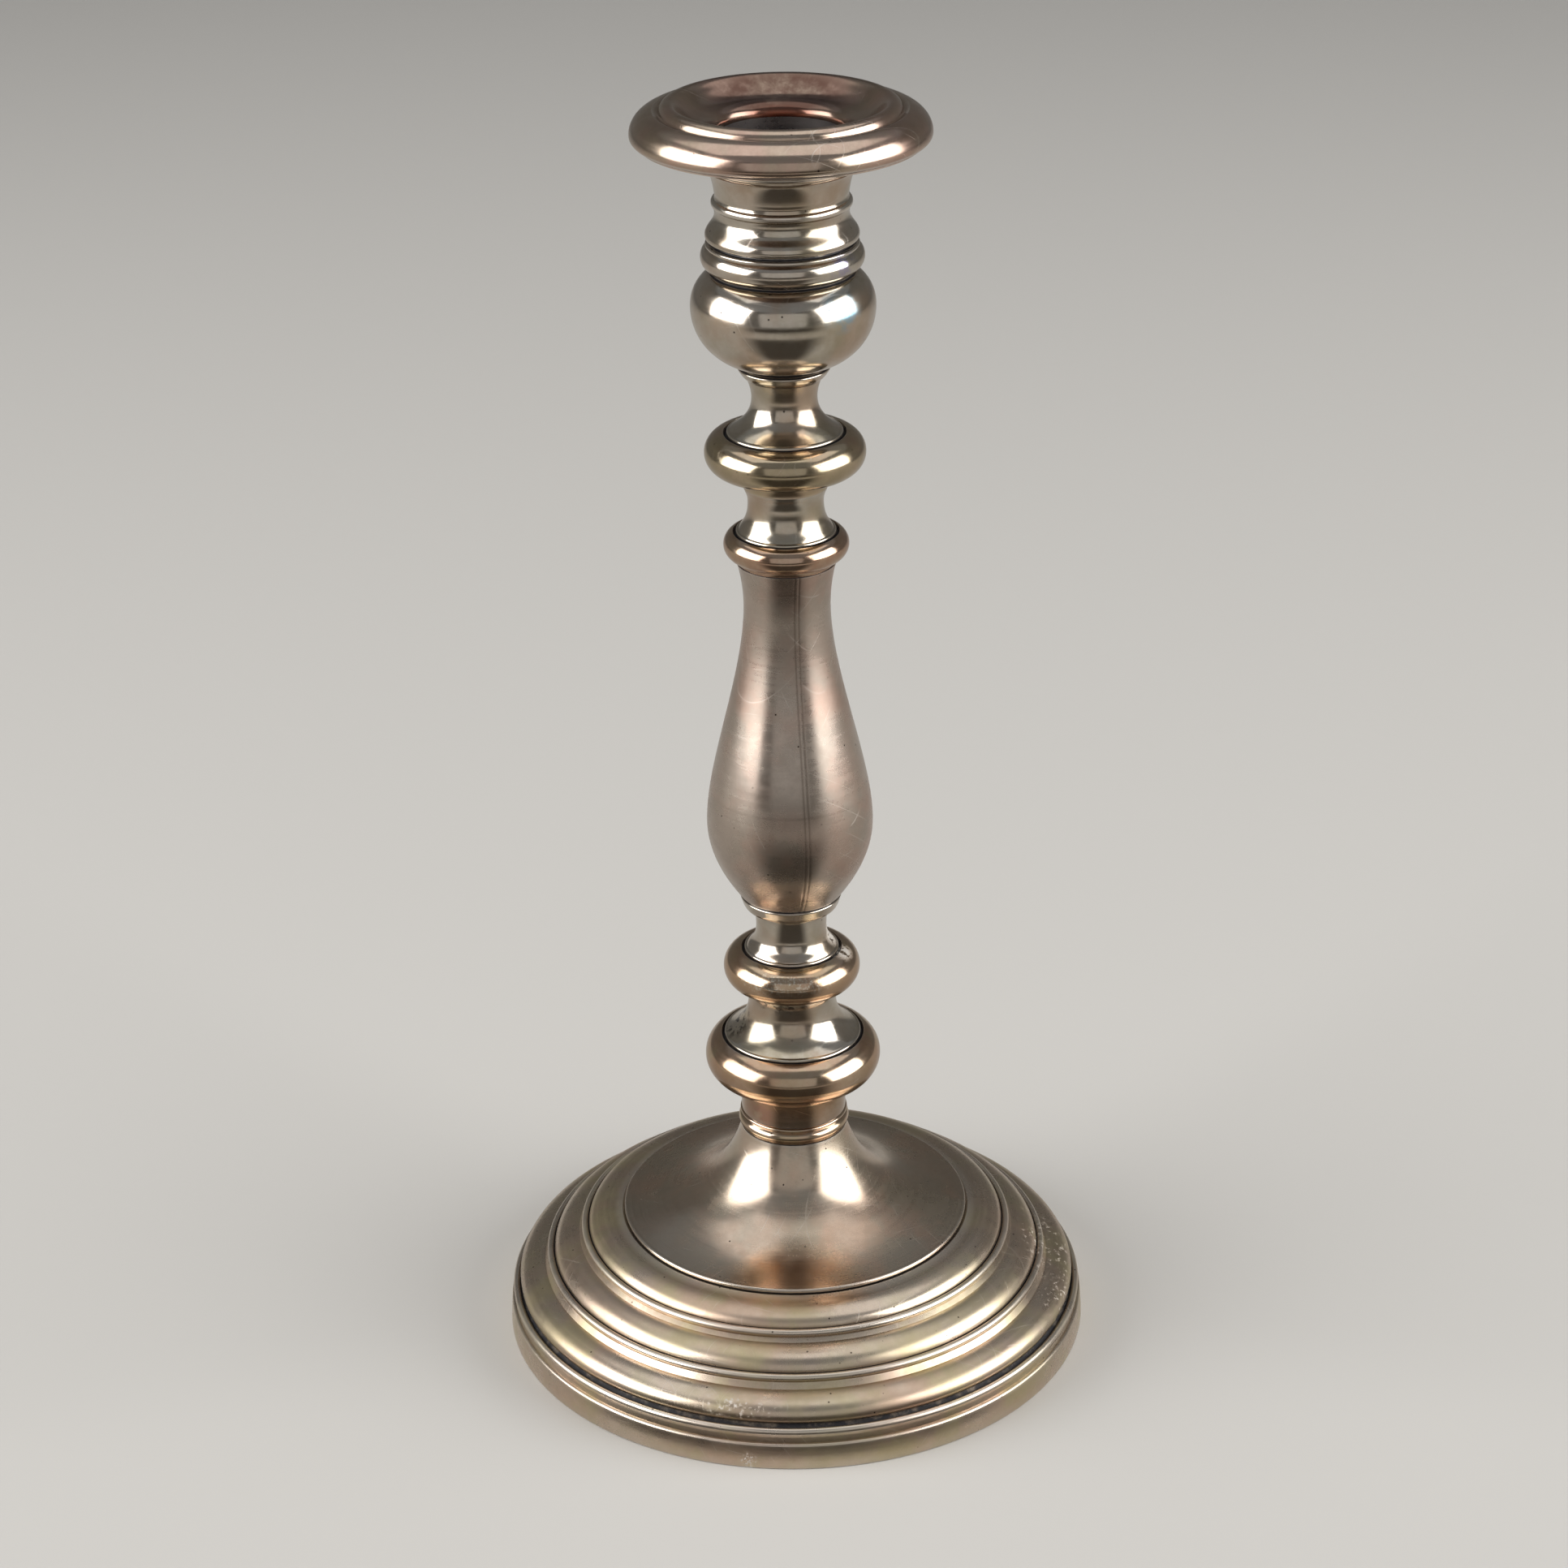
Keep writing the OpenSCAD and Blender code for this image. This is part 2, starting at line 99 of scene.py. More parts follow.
def arc(centre, a, b, start, end, count=24):
    angles = np.radians(np.linspace(start, end, count))
    return [(centre[0] + a * math.cos(t), centre[1] + b * math.sin(t)) for t in angles]


def curve(p, q, r, s, count=24):
    t = np.linspace(0, 1, count)[:, None]
    u = 1 - t
    p, q, r, s = (np.array(v, float) for v in (p, q, r, s))
    return [tuple(v) for v in u**3 * p + 3 * u * u * t * q + 3 * u * t * t * r + t**3 * s]


sheet = dict(wall=0.6, groove=0.5)  # thickness of the spun silver, and depth of the groove round a cup
wall = sheet["wall"]

footShape = dict(plinth=5.4, ledge=2.15, dishR=34.3, dishGap=0.9, widths=2.9, beads=1.7,
                 beadW=0.75, beadH=0.8, stepZ=(9.9, 15.3, 20.7), rise=(3.35, 3.8, 3.1), turn=(-18, 4, 4),
                 # How far below its step each fillet, bead and seat lies. The lowest bead stands clear.
                 filletDrop=(3.35, 0.95, 0.95), beadDrop=(2.3, 0.25, 0.25), seatDrop=(1.4, 0.1, 0.1),
                 innerDrop=(3.9, 1.6, 1.6))


def stepsOutline(k):
    footR, dishR, top = wide("foot_steps"), k["dishR"], tall("foot_steps")
    pitch = (footR - k["ledge"] - dishR - k["dishGap"]) / k["widths"]
    width = pitch - k["beads"]
    outside = [(footR - 0.3, 0)] + arc((footR - 0.35, 0.4), 0.35, 0.4, -60, 0, 6)
    outside += [(footR - 0.1, 2.0), (footR - 0.25, k["plinth"] - 1.2)]
    outside += arc((footR - 0.85, k["plinth"] - 0.6), 0.55, 0.6, 10, 95, 8)
    inside = [(footR - wall - 0.1, 0), (footR - wall - 0.4, k["plinth"] - wall)]
    for s, (z, rise) in enumerate(zip(k["stepZ"], k["rise"])):
        r = footR - k["ledge"] - s * pitch
        outside += [(r + 1.2, z - k["filletDrop"][s])]
        outside += arc((r + 0.7, z - k["beadDrop"][s]), k["beadW"], k["beadH"], -35, 160, 14)
        outside += [(r - 0.75, z - k["seatDrop"][s])]
        outside += arc((r - width, z), width, rise, k["turn"][s], 87, 32)
        inside += [(r - wall - 0.9, z - k["innerDrop"][s])]
        inside += arc((r - width, z - 0.3), width - wall - 0.9, rise - wall, 0, 80, 8)
    outside += [(dishR + 0.38, top + 0.05), (dishR + 0.3, top), (dishR - 2.6, top)]
    return outside, inside + [(dishR - 2.6, top - wall)]


def dishOutline(k):
    lip, rise, neckR = k["dishR"], tall("foot_dish"), k["neckR"]
    outside = [(lip - 0.15, 0)] + arc((lip - 0.4, 0.45), 0.4, 0.5, -45, 84, 10)
    outside += curve((lip - 0.55, 0.95), (lip * 0.62, 2.4), (neckR + 3.2, rise * 0.41),
                     (neckR + 0.1, rise), 64)
    inside = [(lip - 0.15 - 2 * wall, 0)]
    inside += curve((lip - 0.5 - 3 * wall, 0.6), (lip * 0.62 - wall, 1.8),
                    (neckR + 3.2 - wall, rise * 0.41 - wall), (neckR + 0.1 - wall, rise), 18)
    return outside, inside


def collarOutline(k):
    r, top = k["neckR"], tall("stem_collar")
    outside = [(r + 0.05, 0)] + arc((r - 0.6, 1.45), 1.2, 1.3, -50, 55, 18) + [(r - 0.15, 2.75)]
    outside += arc((r - 0.1, 3.25), 0.4, 0.4, -55, 65, 10) + [(r - 0.12, 3.8), (r - 0.12, top)]
    return outside, [(r - wall - 0.4, 0), (r - wall - 0.4, top)]


def seatOf(k):
    turn = math.acos((k["lip"] + 0.55 - k["ringR"]) / k["halfW"])
    return math.degrees(turn), k["ringZ"] + k["halfH"] * math.sin(turn) - sheet["groove"]


def knopOutline(k):
    footR, footH, under, hole = k["footR"], k["footH"], k["ringZ"] - k["halfH"], k["lip"] - 1.6
    crown, seat = seatOf(k)
    outside = [(footR, 0), (footR, footH)]
    if k["flared"]:  # a small curve leads from the neck into the ring
        outside += curve((footR, footH), (footR + 0.1, footH + 0.9), (footR + 0.5, under - 0.6),
                         (footR + 1.1, under - 0.3), 8)[1:]
    outside += arc((k["ringR"], k["ringZ"]), k["halfW"], k["halfH"], -77, crown, 40)
    outside += [(k["lip"] + 0.32, seat + 0.12), (k["lip"] + 0.2, seat), (hole, seat)]
    return outside, [(footR - wall, 0), (footR - wall, under + 1.5), (hole, seat - wall)]


def cupOutline(k):
    lip, waistR, waistZ, topR, height = (k[n] for n in ("lip", "waistR", "waistZ", "topR", "height"))
    outside = [(lip - 0.15, 0)] + arc((lip - 0.35, 0.55), 0.35, 0.42, -50, 88, 10)
    outside += curve((lip - 0.5, 0.99), (lip - (lip - waistR) * 0.5, 2.2), (waistR, waistZ - 3.4),
                     (waistR, waistZ), 32)
    outside += curve((waistR, waistZ), (waistR, waistZ + 1.4), (topR - 0.4, height - 1.1),
                     (topR, height), 14)[1:]
    return outside, [(lip - 0.2 - wall, 0), (lip - 1.2 - wall, 0.6), (waistR - wall, waistZ - 2),
                     (waistR - wall, waistZ), (topR - wall, height)]


def vaseOutline(k):
    h, belly, throat = tall("vase"), wide("vase"), k["throatR"]
    low, high = k["bellyAt"] * h, k["throatAt"] * h
    outside = curve((k["baseR"], 0), (k["baseR"] + 2.4, 0.048 * h), (belly, 0.127 * h), (belly, low), 32)
    outside += curve((belly, low), (belly, 0.399 * h), (throat, 0.67 * h), (throat, high), 52)[1:]
    outside += curve((throat, high), (throat, 0.933 * h), (k["topR"] - 0.4, 0.98 * h),
                     (k["topR"], h), 16)[1:]
    return outside, [(r - wall, z) for r, z in outside[::5] + [outside[-1]]]


def vaseFootOutline():
    h = tall("vase_foot")
    outside = [(7.4, 0), (8.6, 0.45), (8.85, 0.55), (9.05, 0.8), (9.3, 1.3), (9.62, 2.4)]
    outside += arc((9.4, 2.7), 0.35, 0.3, -10, 80, 8) + [(9.3, h - 0.05), (9.2, h)]
    return outside, [(6.8, 0), (8.15, 1.6), (8.15, h)]


def sconceFootOutline():
    h = tall("sconce_foot")
    outside = [(6.9, 0), (7.2, 0.15), (7.5, 0.4), (7.85, 0.8), (8.2, 1.35)]
    outside += arc((8.25, 1.85), 0.2, 0.25, -50, 90, 8) + [(8.05, 2.15), (8.2, 2.35), (8.1, 2.5), (7.9, h)]
    return outside, [(6.3, 0), (6.4, 1.4), (6.4, h)]


def bulbOutline(k):
    r, topR, h = wide("sconce_bulb"), k["topR"], tall("sconce_bulb")
    outside = [(0, 0), (8.0, 0)]
    outside += curve((8.3, 0.15), (12.6, 1.4), (r, 5.1), (r, 11.1), 40)
    outside += curve((r, 11.1), (r, 13.8), (r - 1.4, 16.1), (topR + 0.5, h - 0.15), 28)[1:] + [(topR, h)]
    inside = [(0, wall), (7.7, wall)]
    inside += curve((8.3, wall + 0.15), (11.7, 2.2), (r - wall, 5.6), (r - wall, 11.1), 12)
    inside += curve((r - wall, 11.1), (r - wall, 13.4), (r - 2, 15.4), (topR - wall, h), 10)[1:]
    return outside, inside


def sconceRingOutline(k):
    topR, h = k["topR"], tall("sconce_ring")
    outside = [(topR, 0), (topR, 0.3)] + arc((wide("sconce_ring") - 2, 2.85), 2, 2.25, -80, 60, 32)
    outside += arc((topR + 0.7, 5.2), 0.3, 0.3, 0, 75, 6) + [(topR - 0.05, 5.6), (topR - 0.1, h)]
    return outside, [(topR - wall, 0), (topR - wall, h)]


def sconceCollarOutline(k):
    r, bead, h = k["footR"], k["beadR"], tall("sconce_collar")
    outside = [(r - 0.1, 0), (r + 0.5, 0.15), (r + 0.75, 0.3)]
    outside += curve((r + 0.9, 0.5), (r + 1.4, 2.1), (bead - 0.5, 2.9), (bead - 0.6, 4.9), 30)
    outside += [(bead - 0.55, 5.9)] + arc((bead - 0.75, 6.9), 0.75, 0.85, -65, 75, 18)
    outside += [(bead - 0.7, 8.2), (bead - 0.7, 8.6)]
    outside += curve((bead - 0.6, 8.9), (bead - 0.4, 10.6), (bead, 12.2), (bead + 0.75, 13.1), 20)
    outside += [(bead + 0.58, 13.35), (bead + 0.6, 13.65)]
    outside += arc((bead + 0.7, 14.35), 0.65, 0.7, -75, 80, 16) + [(bead + 0.6, h)]
    return outside, [(k["boreR"], 0), (k["boreR"], h)]


nozzleShape = dict(crestR=19.8, mouthR=11.1, tubeR=11.5, plate=0.5, restR=14.1)


def panOutline(k):
    r, c, mouth = wide("nozzle_pan"), k["crestR"], k["mouthR"]
    outside = [(r - 1.2, 0)] + arc((r - 1.1, 1.15), 1.1, 1.15, -80, 0, 12)
    outside += arc((r - 4.9, 1.15), 4.9, 4.35, 3, 82, 36)
    outside += [(c + 2.2, 5.12), (c + 2.05, 5.1), (c + 1.9, 5.2)]
    outside += curve((c + 1.8, 5.4), (c + 1.5, 6.45), (c + 0.8, 6.8), (c, 6.8), 14)
    outside += curve((c, 6.8), (c - 1.6, 6.8), (c - 2.2, 4.4), (c - 5.4, 3.65), 28)[1:]
    outside += curve((c - 5.4, 3.65), (mouth + 1.8, 3.4), (mouth, 3.1), (mouth, 0.9), 22)[1:]
    inside = [(r - 1.8, 0)] + arc((r - 4.9, 0.9), 4.3, 3.9, 0, 82, 10) + [(c + 1.6, 4.8), (c, 6.1)]
    inside += curve((c - 0.6, 5.9), (c - 1.8, 5.3), (c - 2.8, 3.7), (c - 5.4, 3.05), 8)
    return outside, inside + [(k["tubeR"], 2.1), (k["tubeR"], 0.9)]


def underplateOutline(k):
    edge, rest, hole, h = wide("nozzle_underplate"), k["restR"], k["tubeR"], tall("nozzle_underplate")
    outside = [(hole, 0), (rest, 0), (edge - 0.6, 2.0), (edge - 0.15, 2.03), (edge, 2.15), (edge, h)]
    return outside, [(hole, k["plate"]), (rest - 0.2, k["plate"]), (edge - 0.8, h)]


def socketOutline(k):
    h = tall("nozzle_socket")
    return [(k["tubeR"], 0), (k["tubeR"], h)], [(k["mouthR"], 0), (k["mouthR"], h)]


def discOutline(node):
    r, h = wide(node), tall(node)
    return [(0, 0), (r - 0.1, 0), (r, 0.1), (r, h - 0.05), (r - 0.05, h)], [(0, h)]


def wireOutline(k):
    r = k["wireR"]
    centre = (wide("foot_wire") - r, r)
    return arc(centre, r, r, -90, 90, 13), arc(centre, -r, r, -75, 75, 10)


neckR = 10.3
sconceR = 12.9  # where the bulb, the ring and the collar meet
stick = {
    "foot_wire": wireOutline(dict(wireR=0.95)),
    "foot_steps": stepsOutline(footShape),
    "foot_dish": dishOutline(dict(dishR=footShape["dishR"], neckR=neckR)),
    "stem_collar": collarOutline(dict(neckR=neckR)),
    "base_plate": discOutline("base_plate"),
    "vase_foot": vaseFootOutline(),
    "vase": vaseOutline(dict(baseR=9.75, throatR=8.15, topR=9.3, bellyAt=0.224, throatAt=0.874)),
    "sconce_foot": sconceFootOutline(),
    "sconce_bulb": bulbOutline(dict(topR=sconceR)),
    "sconce_ring": sconceRingOutline(dict(topR=sconceR)),
    "sconce_collar": sconceCollarOutline(dict(footR=sconceR, beadR=12.7, boreR=11.55)),
}

# Each knop carries a cup that flares from the lip in its groove to the next piece.
knops = {
    "large_knop": dict(halfW=4.9, halfH=4.9, ringZ=11.85, lipIn=3.8, footR=neckR, footH=4.6, flared=True,
                       waistR=8.6, waistZ=7.9, topR=9.3),
    "small_knop": dict(halfW=3.95, halfH=3.9, ringZ=4.2, lipIn=4.1, footR=9.0, footH=0.05, flared=False,
                       waistR=6.85, waistZ=5.7, topR=7.4),
    "ring_knop": dict(halfW=2.8, halfH=2.7, ringZ=3.55, lipIn=2.35, footR=9.1, footH=0.1, flared=False,
                      waistR=7.05, waistZ=6.4, topR=7.9),
    "upper_knop": dict(halfW=3.9, halfH=3.8, ringZ=6.6, lipIn=4.15, footR=7.9, footH=0.5, flared=True,
                       waistR=6.05, waistZ=7.3, topR=6.9),
}
for node, k in knops.items():
    k["ringR"], k["lip"] = wide(node) - k["halfW"], wide(node) - k["lipIn"]
    k["height"] = tall(node + "_cup")
    stick[node] = knopOutline(k)
    stick[node + "_cup"] = cupOutline(k)

nozzle = {
    "nozzle_pan": panOutline(nozzleShape),
    "nozzle_underplate": underplateOutline(nozzleShape),
    "nozzle_socket": socketOutline(nozzleShape),
    "socket_floor": discOutline("socket_floor"),
}


tiny = 1e-4  # millimetres: nearer than this, two points are one


# One closed line for each piece, in the frame's own heights. A line that meets the axis stays open there.
def loopOf(node, outline):
    outside, inside = outline
    line = [(r, z + foot(node)) for r, z in list(outside) + list(inside)[::-1]]
    return [p for i, p in enumerate(line) if i == 0 or math.dist(p, line[i - 1]) > tiny]


loops = {node: loopOf(node, outline) for node, outline in {**stick, **nozzle}.items()}
segments = np.concatenate([np.hstack([line, np.roll(line, -1, axis=0)]) for line in loops.values()])


# Tarnish gathers where polishing can't reach, and a cloth wears the edges bright. Feelers reach out from
# each point of an outline: those that meet metal measure shelter, and those that pass below the surface
# without meeting any show an edge.
feelers = dict(reach=2.6, edgeReach=0.9, spread=80, count=17, lift=0.02, sideways=0.15,
               below=(-112, -101, 101, 112), near=(12, 8))


# How far each feeler reaches before it meets a side of an outline. One that meets nothing gets a long reach.
def meets(origin, angles, near):
    wayR, wayZ = np.cos(angles)[:, None], np.sin(angles)[:, None]
    offR, offZ = near[:, 0] - origin[0], near[:, 1] - origin[1]
    sideR, sideZ = near[:, 2] - near[:, 0], near[:, 3] - near[:, 1]
    cross = wayR * sideZ - wayZ * sideR
    cross = np.where(np.abs(cross) < 1e-12, 1e-12, cross)
    far = (offR * sideZ - offZ * sideR) / cross
    along = (offR * wayZ - offZ * wayR) / cross
    return np.where((far > 1e-3) & (along > -0.01) & (along < 1.01), far, 1e3).min(axis=1)


def feel(line):
    points = np.array(line)
    ahead, behind = np.roll(points, -1, axis=0) - points, points - np.roll(points, 1, axis=0)
    ahead, behind = (v / (np.linalg.norm(v, axis=1)[:, None] + 1e-9) for v in (ahead, behind))
    facing = np.arctan2(-ahead[:, 0] - behind[:, 0], ahead[:, 1] + behind[:, 1])
    spread = np.radians(np.linspace(-feelers["spread"], feelers["spread"], feelers["count"]))
    below = np.radians(feelers["below"])
    nearR, nearZ = feelers["near"]
    sheltered, exposed = [], []
    for point, normal in zip(points, facing):
        start = point + feelers["lift"] * np.array([math.cos(normal), math.sin(normal)])
        close = (np.abs(segments[:, 1] - point[1]) < nearZ) & (np.abs(segments[:, 0] - point[0]) < nearR)
        near = segments[close]
        blocked = np.clip(1 - meets(start, normal + spread, near) / feelers["reach"], 0, 1)
        sheltered.append(float(np.average(blocked, weights=np.cos(spread) + feelers["sideways"])))
        exposed.append(float(np.mean(meets(start, normal + below, near) > feelers["edgeReach"])))
    return sheltered, exposed


# Adds one node, and links or sets its inputs.
def put(tree, kind, links=None, **settings):
    node = tree.nodes.new(kind)
    for key, value in settings.items():
        setattr(node, key, value)
    for key, value in (links or {}).items():
        if isinstance(value, bpy.types.NodeSocket):
            tree.links.new(value, node.inputs[key])
        else:
            node.inputs[key].default_value = value
    return node


arborR = 1 * mm  # a thin arbor, so the sweep has a circle to follow. spin takes it off again


# Geometry Nodes turn an outline round the axis, as the spinner's lathe did.
def buildLathe():
    tree = bpy.data.node_groups.new("lathe", "GeometryNodeTree")
    sizes = (("Outline", "Geometry", None), ("Turns", "Int", 256), ("Arbor radius", "Float", arborR),
             ("Weld distance", "Float", 0.002 * mm), ("Crease angle", "Float", 0.6),
             ("Waviness", "Float", 0.0), ("Wave length", "Float", 16 * mm), ("Seed", "Float", 3.0),
             ("Seam angle", "Float", 0.0), ("Seam half width", "Float", 0.4 * mm),
             ("Seam line width", "Float", 0.16 * mm), ("Seam depth", "Float", 0.0),
             ("Finish", "Material", None))
    for label, kind, default in sizes:
        item = tree.interface.new_socket(label, in_out="INPUT", socket_type="NodeSocket" + kind)
        if default is not None:
            item.default_value = default
    tree.interface.new_socket("Geometry", in_out="OUTPUT", socket_type="NodeSocketGeometry")
    given = put(tree, "NodeGroupInput").outputs

    line = put(tree, "GeometryNodeMeshToCurve", {"Mesh": given["Outline"]})
    arbor = put(tree, "GeometryNodeCurvePrimitiveCircle",
                {"Resolution": given["Turns"], "Radius": given["Arbor radius"]})
    upright = put(tree, "GeometryNodeSetCurveNormal", {"Curve": arbor.outputs["Curve"]}, mode="Z_UP")
    swept = put(tree, "GeometryNodeCurveToMesh",
                {"Curve": upright.outputs[0], "Profile Curve": line.outputs[0]})
    joined = put(tree, "GeometryNodeMergeByDistance",
                 {"Geometry": swept.outputs[0], "Distance": given["Weld distance"]})

    # Shallow waves, from planishing and long handling.
    place = put(tree, "GeometryNodeInputPosition").outputs[0]
    finer = put(tree, "ShaderNodeMath", {0: 1.0, 1: given["Wave length"]}, operation="DIVIDE")
    noise = put(tree, "ShaderNodeTexNoise", {"Vector": place, "W": given["Seed"], "Scale": finer.outputs[0],
                                             "Detail": 1.0}, noise_dimensions="4D")
    waves = put(tree, "ShaderNodeMath", {0: noise.outputs[0], 1: given["Waviness"]}, operation="MULTIPLY")

    # Two fine lines, one on each side of the soldered seam.
    axis = put(tree, "ShaderNodeSeparateXYZ", {0: place}).outputs
    front = put(tree, "ShaderNodeMath", {0: axis[1], 1: -1.0}, operation="MULTIPLY")
    angle = put(tree, "ShaderNodeMath", {0: axis[0], 1: front.outputs[0]}, operation="ARCTAN2")
    away = put(tree, "ShaderNodeMath", {0: angle.outputs[0], 1: given["Seam angle"]}, operation="SUBTRACT")
    flat = put(tree, "ShaderNodeCombineXYZ", {0: axis[0], 1: axis[1]})
    radius = put(tree, "ShaderNodeVectorMath", {0: flat.outputs[0]}, operation="LENGTH")
    across = put(tree, "ShaderNodeMath", {0: away.outputs[0], 1: radius.outputs["Value"]},
                 operation="MULTIPLY")
    side = put(tree, "ShaderNodeMath", {0: across.outputs[0]}, operation="ABSOLUTE")
    off = put(tree, "ShaderNodeMath", {0: side.outputs[0], 1: given["Seam half width"]},
              operation="SUBTRACT")
    steps = put(tree, "ShaderNodeMath", {0: off.outputs[0], 1: given["Seam line width"]},
                operation="DIVIDE")
    square = put(tree, "ShaderNodeMath", {0: steps.outputs[0], 1: 2.0}, operation="POWER")
    inverse = put(tree, "ShaderNodeMath", {0: square.outputs[0], 1: -1.0}, operation="MULTIPLY")
    lines = put(tree, "ShaderNodeMath", {0: inverse.outputs[0]}, operation="EXPONENT")
    cut = put(tree, "ShaderNodeMath", {0: lines.outputs[0], 1: given["Seam depth"]}, operation="MULTIPLY")

    depth = put(tree, "ShaderNodeMath", {0: waves.outputs[0], 1: cut.outputs[0]}, operation="ADD")
    inwards = put(tree, "ShaderNodeMath", {0: depth.outputs[0], 1: -1.0}, operation="MULTIPLY")
    normal = put(tree, "GeometryNodeInputNormal")
    shift = put(tree, "ShaderNodeVectorMath", {0: normal.outputs[0], "Scale": inwards.outputs[0]},
                operation="SCALE")
    marked = put(tree, "GeometryNodeStoreNamedAttribute",
                 {"Geometry": joined.outputs[0], "Name": "seam", "Value": lines.outputs[0]},
                 data_type="FLOAT", domain="POINT")
    moved = put(tree, "GeometryNodeSetPosition",
                {"Geometry": marked.outputs[0], "Offset": shift.outputs[0]})

    bend = put(tree, "GeometryNodeInputMeshEdgeAngle")
    sharp = put(tree, "FunctionNodeCompare", {0: bend.outputs[0], 1: given["Crease angle"]},
                data_type="FLOAT", operation="GREATER_THAN")
    smooth = put(tree, "GeometryNodeSetShadeSmooth", {"Geometry": moved.outputs[0]}, domain="FACE")
    creased = put(tree, "GeometryNodeSetShadeSmooth",
                  {"Geometry": smooth.outputs[0], "Selection": sharp.outputs[0], "Shade Smooth": False},
                  domain="EDGE")
    real = put(tree, "GeometryNodeRealizeInstances", {"Geometry": creased.outputs[0]})
    dressed = put(tree, "GeometryNodeSetMaterial",
                  {"Geometry": real.outputs[0], "Material": given["Finish"]})
    put(tree, "NodeGroupOutput", {"Geometry": dressed.outputs[0]})
    return tree


lathe = buildLathe()
socketOf = {item.name: item.identifier for item in lathe.interface.items_tree if item.in_out == "INPUT"}


def spin(node, body, finish, **inputs):
    line = loops[node]
    sheltered, exposed = feel(line)
    line, sheltered, exposed = line[::-1], sheltered[::-1], exposed[::-1]
    onAxis = min(r for r, z in line) < tiny
    if onAxis:
        # The two points on the axis go to the ends, so no edge joins them.
        while line[0][0] > tiny or line[-1][0] > tiny:
            line, sheltered, exposed = (v[1:] + v[:1] for v in (line, sheltered, exposed))
    edges = [(i, i + 1) for i in range(len(line) - 1)] + ([] if onAxis else [(len(line) - 1, 0)])
    drawn = bpy.data.meshes.new(node + "_line")
    # The sweep adds the arbor's radius, and it looks down, so heights go in upside down.
    drawn.from_pydata([(r * mm - arborR, -z * mm, 0) for r, z in line], edges, [])
    for label, values in (("recess", sheltered), ("worn", exposed)):
        drawn.attributes.new(label, "FLOAT", "POINT").data.foreach_set("value", values)
    blank = bpy.data.objects.new(node + "_blank", drawn)
    bpy.context.scene.collection.objects.link(blank)
    turning = blank.modifiers.new("lathe", "NODES")
    turning.node_group = lathe
    turning[socketOf["Finish"]] = finish
    for label, value in inputs.items():
        turning[socketOf[label.replace("_", " ").capitalize()]] = value
    evaluated = blank.evaluated_get(bpy.context.evaluated_depsgraph_get())
    piece = bpy.data.objects.new(node + "_piece", bpy.data.meshes.new_from_object(evaluated))
    bpy.data.objects.remove(blank)
    bpy.context.scene.collection.objects.link(piece)
    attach(piece, body)
    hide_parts(node)


# Materials. Patterns read the object's own coordinates in millimetres.
def linear(text):
    parts = [int(text[i:i + 2], 16) / 255 for i in (1, 3, 5)]
    return tuple(v / 12.92 if v <= 0.04045 else ((v + 0.055) / 1.055) ** 2.4 for v in parts) + (1.0,)


def newMaterial(name):
    material = bpy.data.materials.new(name)
    material.use_nodes = True
    material.node_tree.nodes.clear()
    return material, material.node_tree


def inMillimetres(tree):
    place = put(tree, "ShaderNodeTexCoord").outputs["Object"]
    return put(tree, "ShaderNodeVectorMath", {0: place, "Scale": 1 / mm}, operation="SCALE").outputs[0]


# Soft-edged patches of about the given size in millimetres.
def patchy(tree, where, size, low, high, seed, detail=4.0, rough=0.6):
    noise = put(tree, "ShaderNodeTexNoise", {"Vector": where, "W": seed, "Scale": 1 / size,
                                             "Detail": detail, "Roughness": rough}, noise_dimensions="4D")
    return put(tree, "ShaderNodeMapRange", {"Value": noise.outputs[0], "From Min": low, "From Max": high},
               interpolation_type="SMOOTHSTEP").outputs[0]


# Hairline scratches: straight fine lines that lie the same way, broken into short lengths. A real one is
# finer than 0.09 mm, so they are coarsened.
def hairlines(tree, where, lean, length, gap, seed, halfWidth=0.09):
    laid = put(tree, "ShaderNodeMapping", {"Vector": where, "Rotation": lean}).outputs[0]
    across = put(tree, "ShaderNodeSeparateXYZ", {0: laid}).outputs[0]
    off = put(tree, "ShaderNodeMath", {0: across, 1: gap / 2}, operation="PINGPONG").outputs[0]
    line = put(tree, "ShaderNodeMapRange", {"Value": off, "From Min": 0.0, "From Max": halfWidth,
                                            "To Min": 1.0, "To Max": 0.0}).outputs[0]
    broken = patchy(tree, where, length, 0.5, 0.6, seed, 1.0)
    return put(tree, "ShaderNodeMath", {0: line, 1: broken}, operation="MULTIPLY").outputs[0]


# A ragged patch around one place, such as dried polish.
def smear(tree, where, spot):
    off = put(tree, "ShaderNodeVectorMath", {0: where, 1: spot["at"]}, operation="SUBTRACT")
    scaled = put(tree, "ShaderNodeVectorMath", {0: off.outputs[0], 1: spot["size"]}, operation="DIVIDE")
    far = put(tree, "ShaderNodeVectorMath", {0: scaled.outputs[0]}, operation="LENGTH")
    near = put(tree, "ShaderNodeMapRange",
               {"Value": far.outputs["Value"], "From Min": 1.0, "From Max": 0.4})
    torn = patchy(tree, where, spot["grain"], spot["low"], spot["high"], 7.0, 5.0, 0.7)
    return put(tree, "ShaderNodeMath", {0: near.outputs[0], 1: torn}, operation="MULTIPLY").outputs[0]


# Colours of what lies on the silver, from bare metal to the polish that dried on it.
stains = dict(bare="#e6e0d8", speck="#3a2f2a", solder="#76675b", sulphide="#151216", polish="#b9b3ab")

